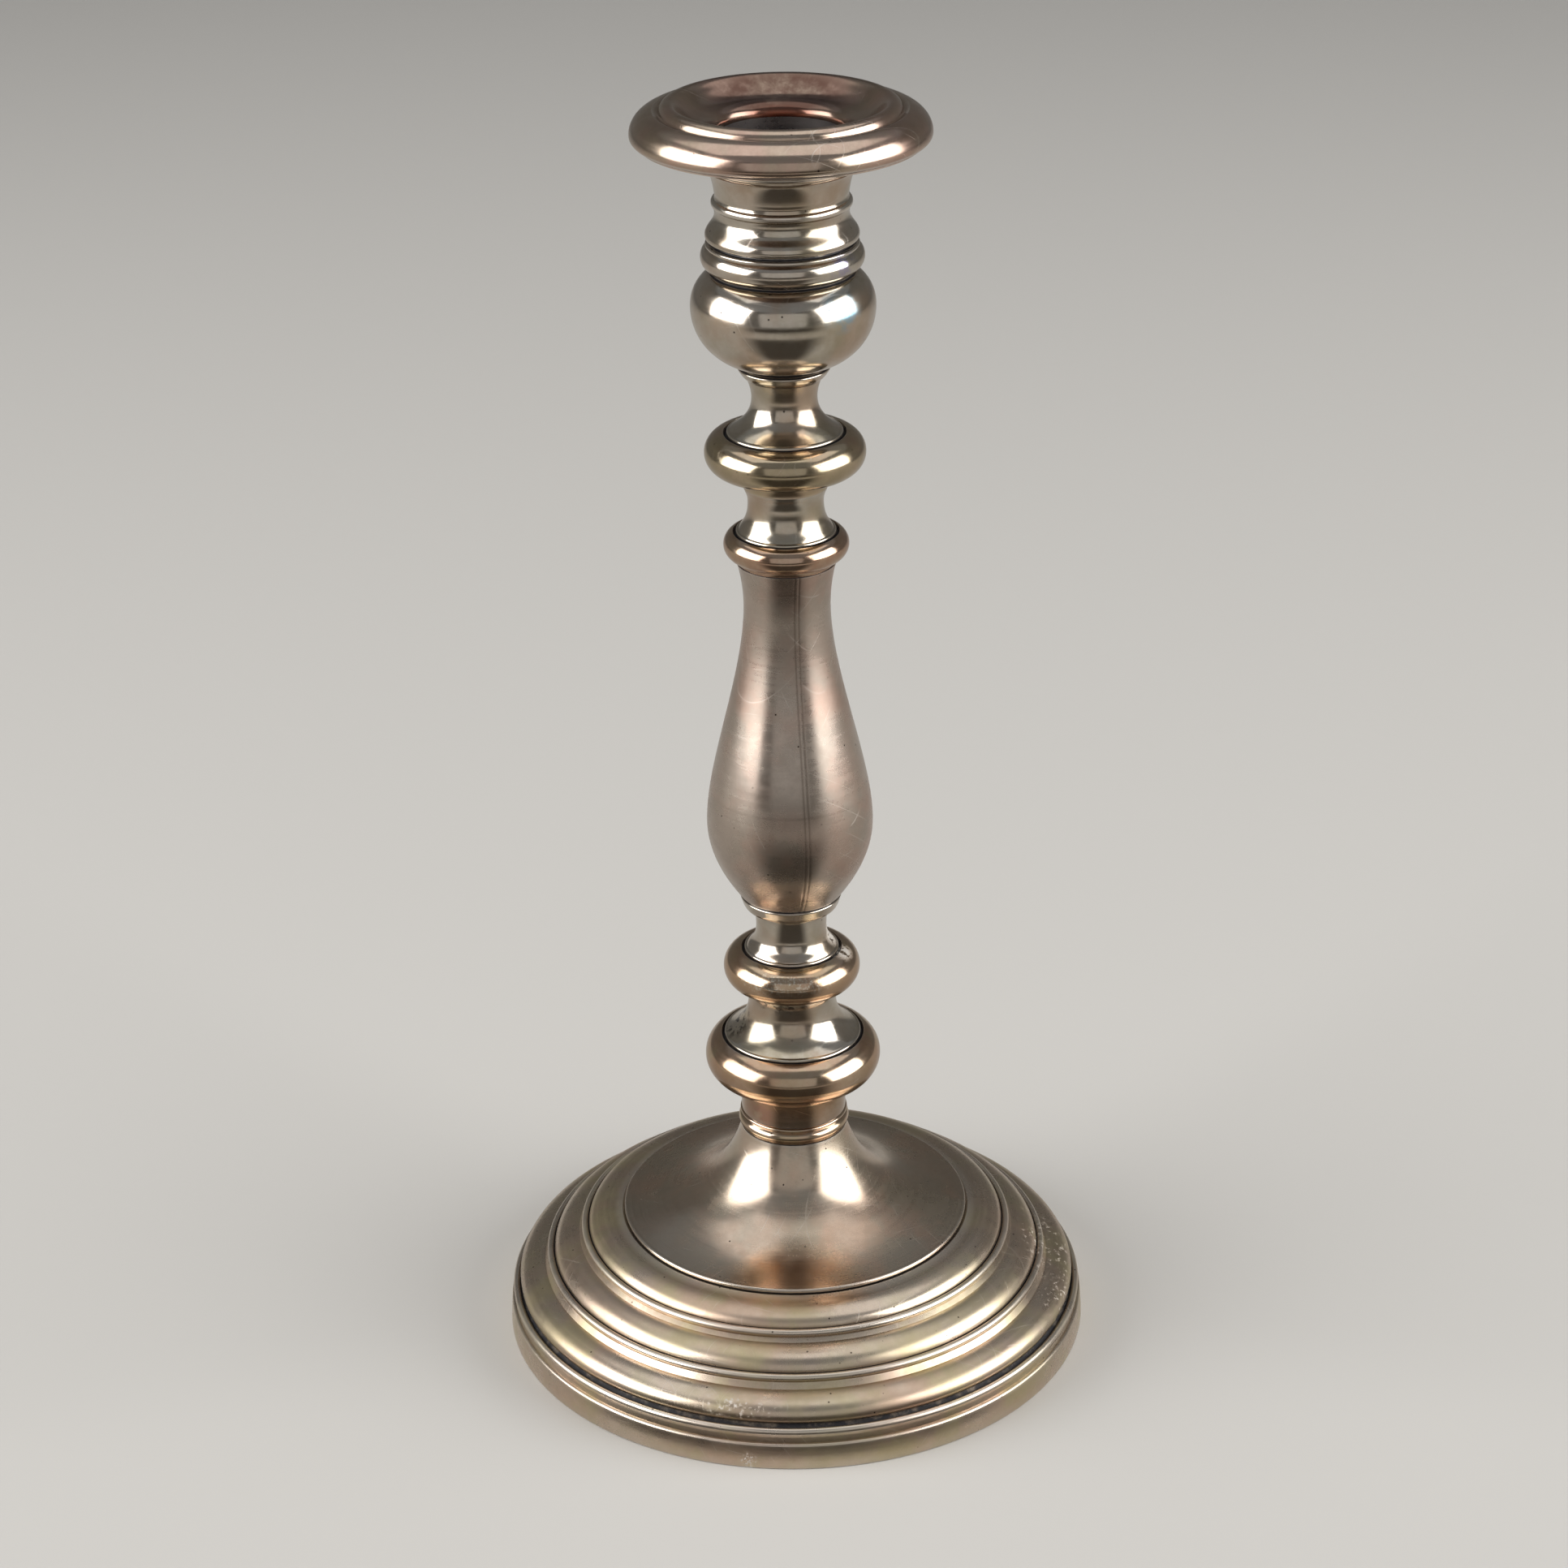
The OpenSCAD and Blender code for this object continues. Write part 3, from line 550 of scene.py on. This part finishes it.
# Patches on the silver, each with its size in millimetres, where it starts and is full, seed, detail and
# roughness. The sizes of the film and its tint go with the finish.
patches = dict(film=(0.36, 0.64, 1.0), tint=(0.4, 0.6, 2.0, 3.0), mottle=(2.4, 0.3, 0.7, 3.0, 6.0, 0.72),
               turning=(0.55, 0.25, 0.75, 4.0, 3.0), scratched=(16, 0.47, 0.62, 5.0, 2.0))

# Scratches and specks in millimetres, then how strongly each mark shows.
marks = dict(length=7, gap=2.3, gapStep=0.8, leans=((0.2, 0.5, 0.9), (1.1, 0.3, 2.2), (0.7, 1.3, 0.1)),
             speckCell=2.1, speckR=(0.05, 0.11), shade=(0.14, 0.4), deepest=0.6, ragged=0.12, uneven=0.2,
             scratch=0.25, worn=0.7, solder=0.6, sulphide=0.75)


# Spun and polished sterling silver under an old film of sulphide tarnish. The film tints it brown, pink or
# khaki, the grooves are almost black, and the handled edges are bare and bright.
def tarnishedSilver(name, f, m):
    material, tree = newMaterial(name)
    where = inMillimetres(tree)
    axis = put(tree, "ShaderNodeSeparateXYZ", {0: where}).outputs
    flat = put(tree, "ShaderNodeCombineXYZ", {0: axis[0], 1: axis[1]}).outputs[0]
    radius = put(tree, "ShaderNodeVectorMath", {0: flat}, operation="LENGTH").outputs["Value"]
    alongLine = put(tree, "ShaderNodeCombineXYZ", {0: radius, 2: axis[2]}).outputs[0]

    film = patchy(tree, where, f.get("filmSize", 18), *patches["film"])
    tint = patchy(tree, where, f.get("tintSize", 11), *patches["tint"])
    mottle = patchy(tree, where, *patches["mottle"])
    turned = patchy(tree, alongLine, *patches["turning"])

    # Scratches, in only some places.
    scratch = 0.0
    for i, lean in enumerate(m["leans"]):
        lines = hairlines(tree, where, lean, m["length"] + i, m["gap"] + i * m["gapStep"], 10.0 + i)
        scratch = put(tree, "ShaderNodeMath", {0: scratch, 1: lines}, operation="MAXIMUM").outputs[0]
    sparse = patchy(tree, where, *patches["scratched"])
    scratch = put(tree, "ShaderNodeMath", {0: scratch, 1: sparse}, operation="MULTIPLY").outputs[0]

    # Specks, one in a few of the cells.
    cells = put(tree, "ShaderNodeTexVoronoi", {"Vector": where, "Scale": 1 / m["speckCell"]}).outputs
    speck = put(tree, "ShaderNodeMapRange", {"Value": cells["Distance"], "From Min": m["speckR"][0],
                                             "From Max": m["speckR"][1], "To Min": 1.0,
                                             "To Max": 0.0}).outputs[0]
    chosen = put(tree, "ShaderNodeSeparateColor", {0: cells["Color"]}).outputs[0]
    few = put(tree, "ShaderNodeMath", {0: chosen, 1: 1 - f.get("specks", 0.25)},
              operation="GREATER_THAN").outputs[0]
    specks = put(tree, "ShaderNodeMath", {0: speck, 1: few}, operation="MULTIPLY").outputs[0]

    # Sheltered places are darker, and the grooves are black with a ragged edge.
    recess = put(tree, "ShaderNodeAttribute", attribute_name="recess").outputs["Fac"]
    ragged = put(tree, "ShaderNodeMath", {0: mottle, 1: m["ragged"], 2: -m["ragged"] / 2},
                 operation="MULTIPLY_ADD").outputs[0]
    deep = put(tree, "ShaderNodeMath", {0: recess, 1: ragged}, operation="ADD").outputs[0]
    black = put(tree, "ShaderNodeMapRange", {"Value": deep, "From Min": f.get("blackFrom", 0.34),
                                             "From Max": f.get("blackTo", 0.52)},
                interpolation_type="SMOOTHSTEP").outputs[0]
    shade = put(tree, "ShaderNodeMapRange", {"Value": deep, "From Min": m["shade"][0],
                                             "From Max": m["shade"][1], "To Max": m["deepest"]}).outputs[0]
    uneven = put(tree, "ShaderNodeMath", {0: mottle, 1: m["uneven"]}, operation="MULTIPLY").outputs[0]

    # Edges and scratches show bare silver.
    worn = put(tree, "ShaderNodeAttribute", attribute_name="worn").outputs["Fac"]
    brighter = put(tree, "ShaderNodeMath", {0: scratch, 1: m["scratch"]}, operation="MULTIPLY").outputs[0]
    polished = put(tree, "ShaderNodeMath", {0: worn, 1: m["worn"]}, operation="MULTIPLY").outputs[0]
    bare = put(tree, "ShaderNodeMath", {0: brighter, 1: polished}, operation="MAXIMUM").outputs[0]

    # Each layer covers those before it.
    filmTint = put(tree, "ShaderNodeMix", {0: tint, 6: linear(f["warm"]), 7: linear(f["cool"])},
                   data_type="RGBA").outputs[2]
    amount = put(tree, "ShaderNodeMapRange",
                 {"Value": film, "To Min": f.get("filmLeast", 0.35), "To Max": 1.0}).outputs[0]
    colour = put(tree, "ShaderNodeMix", {0: amount, 6: linear(f["clean"]), 7: filmTint},
                 data_type="RGBA").outputs[2]
    layers = [(uneven, f["dull"]), (shade, f["dull"]), (bare, stains["bare"]), (specks, stains["speck"])]
    # Patches of colour around given places; on the pan, one of them is painted shade.
    layers += [(smear(tree, where, spot), spot["colour"]) for spot in f.get("tints", ())]
    if f.get("seam"):
        seam = put(tree, "ShaderNodeAttribute", attribute_name="seam").outputs["Fac"]
        solder = put(tree, "ShaderNodeMath", {0: seam, 1: m["solder"]}, operation="MULTIPLY").outputs[0]
        layers.append((solder, stains["solder"]))
    dried = [smear(tree, where, spot) for spot in f.get("residue", ())]
    layers += [(black, stains["sulphide"])] + [(mask, stains["polish"]) for mask in dried]
    for mask, tone in layers:
        colour = put(tree, "ShaderNodeMix", {0: mask, 6: colour, 7: linear(tone)},
                     data_type="RGBA").outputs[2]

    # Black sulphide and dried polish are no longer metal.
    dirt = put(tree, "ShaderNodeMath", {0: black, 1: m["sulphide"]}, operation="MULTIPLY").outputs[0]
    for mask in dried:
        dirt = put(tree, "ShaderNodeMath", {0: dirt, 1: mask}, operation="MAXIMUM").outputs[0]
    metal = put(tree, "ShaderNodeMath", {0: 1.0, 1: dirt}, operation="SUBTRACT").outputs[0]

    # Roughness and height, each mark with its share.
    rough = f["rough"]
    for mask, share in ((film, f["haze"]), (turned, 0.05), (mottle, 0.07), (scratch, 0.12), (dirt, 0.4)):
        rough = put(tree, "ShaderNodeMath", {0: mask, 1: share, 2: rough}, operation="MULTIPLY_ADD",
                    use_clamp=True).outputs[0]
    relief = 0.0
    for mask, share in ((scratch, -0.6), (turned, 0.12), (specks, -1.5), (mottle, 0.4)):
        relief = put(tree, "ShaderNodeMath", {0: mask, 1: share, 2: relief},
                     operation="MULTIPLY_ADD").outputs[0]
    bump = put(tree, "ShaderNodeBump", {"Height": relief, "Distance": f.get("relief", 0.004) * mm})
    shader = put(tree, "ShaderNodeBsdfPrincipled", {"Base Color": colour, "Metallic": metal,
                                                    "Roughness": rough, "Normal": bump.outputs[0]})
    put(tree, "ShaderNodeOutputMaterial", {"Surface": shader.outputs[0]})
    return material


# Patches with a colour of their own, each around a place in millimetres, but for the dark patch at the back
# of the pan's funnel, which is painted shade. Each knop has its own film.
knopFilms = dict(large_knop="#a38468", small_knop="#b3977c", ring_knop="#ab8973", upper_knop="#a2957a")
knopTints = [dict(at=(0, 0, foot(node) + tall(node) / 2), size=(34, 34, 0.75 * tall(node)),
                  colour=colour, grain=8, low=0.2, high=0.62) for node, colour in knopFilms.items()]
knopTints += [dict(at=(-2, -12, 79.6), size=(13, 7, 2.4), colour="#ddd3c2", grain=0.4, low=0.5, high=0.6),
              dict(at=(-6, -7, 49), size=(5, 5, 4), colour="#ab8674", grain=3, low=0.3, high=0.6)]
# At the back of the funnel, a dark brown patch of painted shade; below it, a reddish band in the film.
panTintAndShade = [dict(at=(0, 15, 246), size=(24, 13, 9), colour="#654c42", grain=9, low=0.1, high=0.5),
            dict(at=(0, 13, 243), size=(13, 5, 2.5), colour="#8d5240", grain=4, low=0.2, high=0.6)]
cupTints = [dict(at=(-3, -9, 75), size=(9, 7, 4.5), colour="#2c211d", grain=2.2, low=0.53, high=0.58),
            dict(at=(-11, -1, 67), size=(4, 5, 6), colour="#2c211d", grain=1.6, low=0.5, high=0.56),
            dict(at=(11, -13, 215), size=(5, 6, 5), colour="#6fa6c0", grain=4, low=0.4, high=0.7),
            dict(at=(11, -10, 222), size=(4, 5, 3), colour="#8f8cc0", grain=3, low=0.4, high=0.7)]

# Dried polish, at the right and in front of the foot, and on the right of the small knop and its cup.
footPolish = [dict(at=(50, -2, 14), size=(8, 15, 8), grain=1.1, low=0.53, high=0.7),
              dict(at=(52, -17, 12), size=(5, 10, 5), grain=0.9, low=0.54, high=0.72),
              dict(at=(-12, -53.5, 11.4), size=(10, 5, 2.2), grain=0.9, low=0.52, high=0.66),
              dict(at=(-9.6, -57, 1.6), size=(2.0, 2.0, 2.2), grain=0.5, low=0.5, high=0.58)]
knopPolish = [dict(at=(9.8, -2.6, 81.6), size=(2.6, 3.4, 1.6), grain=0.9, low=0.42, high=0.5)]
cupPolish = [dict(at=(7.4, 0.2, 84.5), size=(2.2, 3.2, 4.2), grain=1.0, low=0.4, high=0.48)]

finishes = {
    # Satin from much polishing, khaki and pink.
    "foot_silver": dict(clean="#cdc1b1", warm="#c0a691", cool="#b9ab8b", dull="#8f7e6b", rough=0.19,
                        haze=0.13, blackFrom=0.42, blackTo=0.6, filmSize=22, residue=footPolish),
    # The dish is handled less than the steps, so it keeps more of its polish.
    "dish_silver": dict(clean="#c9bdad", warm="#bfa590", cool="#b3a592", dull="#8a7a6a", rough=0.13,
                        haze=0.1, filmSize=26),
    # Brown and khaki film on the rings, which are handled least.
    "knop_silver": dict(clean="#cbbaa6", warm="#c2a38b", cool="#bcab8b", dull="#8a725e", rough=0.07,
                        haze=0.06, filmSize=9, tintSize=6, tints=knopTints, residue=knopPolish),
    # Rosy grey film on the vase, with one soldered seam.
    "seamed_silver": dict(clean="#c4b7ab", warm="#b49c8e", cool="#a99d91", dull="#84746a", rough=0.17,
                          haze=0.09, filmSize=16, seam=True, relief=0.0025),
    # Copper-brown film on the pan; the back of the funnel is painted darker, as painted shade.
    "nozzle_silver": dict(clean="#cbb6a6", warm="#bb9e8e", cool="#b3a28e", dull="#7d6355", rough=0.09,
                          haze=0.08, filmSize=10, filmLeast=0.6, tints=panTintAndShade),
    # Inside of the candle socket, grey from wax and smoke.
    "socket_silver": dict(clean="#b3afb2", warm="#8d8488", cool="#9a979c", dull="#6a6468", rough=0.22,
                          haze=0.1),
    # Cups and sconce: the brightest silver, blotched black on one cup and bluish on the bulb.
    "spun_silver": dict(clean="#cfc9bf", warm="#b9a591", cool="#aea38d", dull="#85745f", rough=0.07,
                        haze=0.06, filmSize=12, tints=cupTints, residue=cupPolish),
}
silvers = {name: tarnishedSilver(name, f, marks) for name, f in finishes.items()}
print("materials:", ", ".join(silvers))


finishOf = {**slotOf, "foot_dish": "dish_silver"}
turns = {"foot_steps": 384, "foot_dish": 384, "vase": 512, "nozzle_pan": 384}
waviness = 0.03 * mm
seamed = {"vase": dict(seam_angle=math.radians(12), seam_depth=0.03 * mm)}
for body, pieces in (("stick", stick), ("nozzle", nozzle)):
    for node in pieces:
        spin(node, body, silvers[finishOf[node]], turns=turns.get(node, 256), waviness=waviness,
             **seamed.get(node, {}))
    print(body, "turned:", len(pieces), "pieces")


# Cast pitch with plaster in it: dark brown, shiny where it ran and chalky where it was scraped.
def castPitch():
    material, tree = newMaterial("castPitch")
    where = inMillimetres(tree)
    chalk = patchy(tree, where, 5, 0.42, 0.66, 21.0, 6.0, 0.7)
    lumps = patchy(tree, where, 1.8, 0.3, 0.7, 22.0, 3.0)
    colour = put(tree, "ShaderNodeMix", {0: chalk, 6: linear("#241a15"), 7: linear("#6d5f52")},
                 data_type="RGBA")
    gloss = put(tree, "ShaderNodeMapRange", {"Value": chalk, "To Min": 0.28, "To Max": 0.85})
    bump = put(tree, "ShaderNodeBump", {"Height": lumps, "Distance": 0.25 * mm})
    shader = put(tree, "ShaderNodeBsdfPrincipled", {"Base Color": colour.outputs[2],
                                                    "Roughness": gloss.outputs[0],
                                                    "Normal": bump.outputs[0]})
    put(tree, "ShaderNodeOutputMaterial", {"Surface": shader.outputs[0]})
    return material


# Forged iron rod: blue-black fire scale, with brown rust where the scale has flaked.
def forgedIron():
    material, tree = newMaterial("forgedIron")
    where = inMillimetres(tree)
    flaked = patchy(tree, where, 4, 0.5, 0.58, 31.0, 6.0, 0.65)
    grain = patchy(tree, where, 0.8, 0.25, 0.75, 32.0, 3.0)
    colour = put(tree, "ShaderNodeMix", {0: flaked, 6: linear("#4a4a4d"), 7: linear("#6a4630")},
                 data_type="RGBA")
    whole = put(tree, "ShaderNodeMath", {0: flaked, 1: -0.8, 2: 1.0}, operation="MULTIPLY_ADD")
    rough = put(tree, "ShaderNodeMapRange", {"Value": flaked, "To Min": 0.45, "To Max": 0.9})
    bump = put(tree, "ShaderNodeBump", {"Height": grain, "Distance": 0.08 * mm})
    shader = put(tree, "ShaderNodeBsdfPrincipled", {"Base Color": colour.outputs[2],
                                                    "Metallic": whole.outputs[0],
                                                    "Roughness": rough.outputs[0],
                                                    "Normal": bump.outputs[0]})
    put(tree, "ShaderNodeOutputMaterial", {"Surface": shader.outputs[0]})
    return material


pitch = castPitch()
for node, finish in {"foot_filling": pitch, "stem_filling": pitch, "iron_rod": forgedIron()}.items():
    frame["nodes"][node].data.materials.clear()
    frame["nodes"][node].data.materials.append(finish)
print("load and rod: pitch and iron")


# Napped green wool baize, glued under the foot. The nap is dry, faded in places and darker near the edge.
def woolBaize(radius):
    material, tree = newMaterial("woolBaize")
    where = inMillimetres(tree)
    axis = put(tree, "ShaderNodeSeparateXYZ", {0: where}).outputs
    flat = put(tree, "ShaderNodeCombineXYZ", {0: axis[0], 1: axis[1]})
    out = put(tree, "ShaderNodeVectorMath", {0: flat.outputs[0]}, operation="LENGTH").outputs["Value"]
    nap = patchy(tree, where, 0.5, 0.3, 0.7, 41.0, 4.0, 0.7)  # wool fibre is finer, so this is coarsened
    faded = patchy(tree, where, 14, 0.4, 0.65, 42.0, 5.0)
    pressed = put(tree, "ShaderNodeMapRange",
                  {"Value": out, "From Min": 0.78 * radius, "From Max": radius, "To Max": 0.5}).outputs[0]
    colour = linear("#1f3527")
    for mask, tone in ((nap, "#3f6149"), (faded, "#5b6a4c"), (pressed, "#26312a")):
        colour = put(tree, "ShaderNodeMix", {0: mask, 6: colour, 7: linear(tone)},
                     data_type="RGBA").outputs[2]
    bump = put(tree, "ShaderNodeBump", {"Height": nap, "Distance": 0.15 * mm})
    shader = put(tree, "ShaderNodeBsdfPrincipled", {"Base Color": colour, "Roughness": 0.95,
                                                    "Sheen Weight": 0.35, "Sheen Roughness": 0.5,
                                                    "Normal": bump.outputs[0]})
    put(tree, "ShaderNodeOutputMaterial", {"Surface": shader.outputs[0]})
    return material


# The pad is a cut round of cloth: flat under the foot, with a frayed rim and a slightly uneven nap.
baize = dict(turns=360, rings=24, fray=0.22, nap=0.12, edge=0.5, seed=5)


def layBaize(k):
    radius, thick = wide("baize_pad"), tall("baize_pad")
    chance = random.Random(k["seed"])
    rim = [chance.uniform(0, k["fray"]) for i in range(k["turns"])]
    reach = [radius * (i + 1) / k["rings"] for i in range(k["rings"])]
    shape = bmesh.new()

    def side(height, inward):
        middle = shape.verts.new((0, 0, height * mm))
        around = []
        for number, r in enumerate(reach):
            last = number == k["rings"] - 1
            ring = []
            for i in range(k["turns"]):
                a = 2 * math.pi * i / k["turns"]
                dip = chance.uniform(0, k["nap"]) + (k["edge"] * thick / 2 if last else 0)
                far = (r - (rim[i] if last else 0)) * mm
                up = (height + inward * dip) * mm
                ring.append(shape.verts.new((far * math.cos(a), far * math.sin(a), up)))
            around.append(ring)
        return middle, around

    low, lowRings = side(0, 1)
    high, highRings = side(thick, -1)
    for i in range(k["turns"]):
        j = (i + 1) % k["turns"]
        shape.faces.new((low, lowRings[0][j], lowRings[0][i]))
        shape.faces.new((high, highRings[0][i], highRings[0][j]))
        for a, b in zip(lowRings, lowRings[1:]):
            shape.faces.new((a[i], a[j], b[j], b[i]))
        for a, b in zip(highRings, highRings[1:]):
            shape.faces.new((a[i], b[i], b[j], a[j]))
        shape.faces.new((lowRings[-1][i], lowRings[-1][j], highRings[-1][j], highRings[-1][i]))
    mesh = bpy.data.meshes.new("baizeRound")
    shape.to_mesh(mesh)
    shape.free()
    for face in mesh.polygons:
        face.use_smooth = True
    piece = bpy.data.objects.new("baizeRound", mesh)
    bpy.context.scene.collection.objects.link(piece)
    mesh.materials.append(woolBaize(radius))
    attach(piece, "stick")
    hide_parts("baize_pad")


layBaize(baize)
print("baize laid")


# Studio: two bright soft boxes at the sides, a dim one overhead and a dimmer one behind the camera.
boxes = {
    "leftBox": dict(az=-75, el=20, far=1.7, size=(1.7, 1.3), spread=120, power=19),
    "rightBox": dict(az=75, el=20, far=1.7, size=(1.7, 1.3), spread=120, power=19),
    "topBox": dict(az=180, el=84, far=1.3, size=(1.9, 1.2), spread=180, power=6.5),
    "frontBox": dict(az=0, el=16, far=2.0, size=(2.2, 1.4), spread=180, power=4),
}
aim = Vector((0, 0, 0.15))  # a little above the middle of the stick
for name, b in boxes.items():
    data = bpy.data.lights.new(name, "AREA")
    data.shape = "RECTANGLE"
    data.size, data.size_y = b["size"]
    data.energy = b["power"]
    data.spread = math.radians(b["spread"])
    lamp = bpy.data.objects.new(name, data)
    az, el = math.radians(b["az"]), math.radians(b["el"])
    away = Vector((math.sin(az) * math.cos(el), -math.cos(az) * math.cos(el), math.sin(el)))
    lamp.location = aim + b["far"] * away
    lamp.rotation_euler = (-away).to_track_quat("-Z", "Y").to_euler()
    bpy.context.scene.collection.objects.link(lamp)

air = bpy.data.worlds.new("studioAir")
air.use_nodes = True
air.node_tree.nodes["Background"].inputs["Color"].default_value = linear("#c9cdd2")
air.node_tree.nodes["Background"].inputs["Strength"].default_value = 0.4
bpy.context.scene.world = air


# A round pale floor that sweeps up at its edge.
floorShape = dict(middle=0.4, flat=2.4, sweep=1.0, height=2.6, turns=96, pale="#bcb9b4")


def layFloor(k):
    line = [(k["middle"], 0.0)] + arc((k["flat"], k["sweep"]), k["sweep"], k["sweep"], -90, 0, 16)
    line += [(k["flat"] + k["sweep"], k["height"])]
    count = k["turns"]
    angles = np.linspace(0, 2 * math.pi, count + 1)[:-1]
    points = [(0.0, 0.0, 0.0)] + [(r * math.cos(a), r * math.sin(a), z) for r, z in line for a in angles]
    faces = [(0, 1 + i, 1 + (i + 1) % count) for i in range(count)]
    for ring in range(len(line) - 1):
        low, high = 1 + ring * count, 1 + (ring + 1) * count
        faces += [(low + i, high + i, high + (i + 1) % count, low + (i + 1) % count) for i in range(count)]
    mesh = bpy.data.meshes.new("studioFloor")
    mesh.from_pydata(points, [], faces)
    for face in mesh.polygons:
        face.use_smooth = True
    floor = bpy.data.objects.new("studioFloor", mesh)
    bpy.context.scene.collection.objects.link(floor)
    material, tree = newMaterial("paleFloor")
    shader = put(tree, "ShaderNodeBsdfPrincipled", {"Base Color": linear(k["pale"]), "Roughness": 1.0,
                                                    "Specular IOR Level": 0.0})
    put(tree, "ShaderNodeOutputMaterial", {"Surface": shader.outputs[0]})
    mesh.materials.append(material)


layFloor(floorShape)


# A shaded card lies on the floor round the stick, as is usual in a studio for silver. Only the silver
# sees it, so the undersides and the middle of the mouldings stay dark between the soft boxes, while the floor
# stays pale. The card is grey at the sides and back, and darker in front but for one paler band. Lengths are
# in millimetres, and the sides are in degrees from the front.
card = dict(inner=62, outer=1500, lift=0.5, steps=96, dark="#45413c", grey="#a8a49e", sides=(28, 62),
            bandStart=(330, 420), bandEnd=(560, 680))


def shadedCard(k):
    material, tree = newMaterial("shadedCard")
    axis = put(tree, "ShaderNodeSeparateXYZ", {0: inMillimetres(tree)}).outputs
    forward = put(tree, "ShaderNodeMath", {0: axis[1], 1: -1.0}, operation="MULTIPLY").outputs[0]
    turn = put(tree, "ShaderNodeMath", {0: axis[0], 1: forward}, operation="ARCTAN2").outputs[0]
    aside = put(tree, "ShaderNodeMath", {0: turn}, operation="ABSOLUTE").outputs[0]
    flat = put(tree, "ShaderNodeCombineXYZ", {0: axis[0], 1: axis[1]}).outputs[0]
    out = put(tree, "ShaderNodeVectorMath", {0: flat}, operation="LENGTH").outputs["Value"]
    side, begins, ends = (
        put(tree, "ShaderNodeMapRange", {"Value": value, "From Min": low, "From Max": high},
            interpolation_type="SMOOTHSTEP").outputs[0]
        for value, (low, high) in ((aside, np.radians(k["sides"])), (out, k["bandStart"]),
                                   (out, k["bandEnd"])))
    band = put(tree, "ShaderNodeMath", {0: begins, 1: ends}, operation="SUBTRACT").outputs[0]
    light = put(tree, "ShaderNodeMath", {0: side, 1: band}, operation="MAXIMUM").outputs[0]
    colour = put(tree, "ShaderNodeMix", {0: light, 6: linear(k["dark"]), 7: linear(k["grey"])},
                 data_type="RGBA")
    shader = put(tree, "ShaderNodeBsdfPrincipled", {"Base Color": colour.outputs[2], "Roughness": 1.0,
                                                    "Specular IOR Level": 0.0})
    put(tree, "ShaderNodeOutputMaterial", {"Surface": shader.outputs[0]})
    return material


def layCard(k):
    count = k["steps"]
    angles = np.linspace(0, 2 * math.pi, count + 1)[:-1]
    points = [(r * mm * math.cos(a), r * mm * math.sin(a), k["lift"] * mm)
              for r in (k["inner"], k["outer"]) for a in angles]
    faces = [(i, i + count, (i + 1) % count + count, (i + 1) % count) for i in range(count)]
    mesh = bpy.data.meshes.new("studioCard")
    mesh.from_pydata(points, [], faces)
    mesh.materials.append(shadedCard(k))
    laid = bpy.data.objects.new("studioCard", mesh)
    bpy.context.scene.collection.objects.link(laid)
    laid.visible_camera = False
    laid.visible_diffuse = False
    laid.visible_shadow = False


layCard(card)
bpy.context.scene.view_settings.view_transform = "Standard"
print("studio lit")
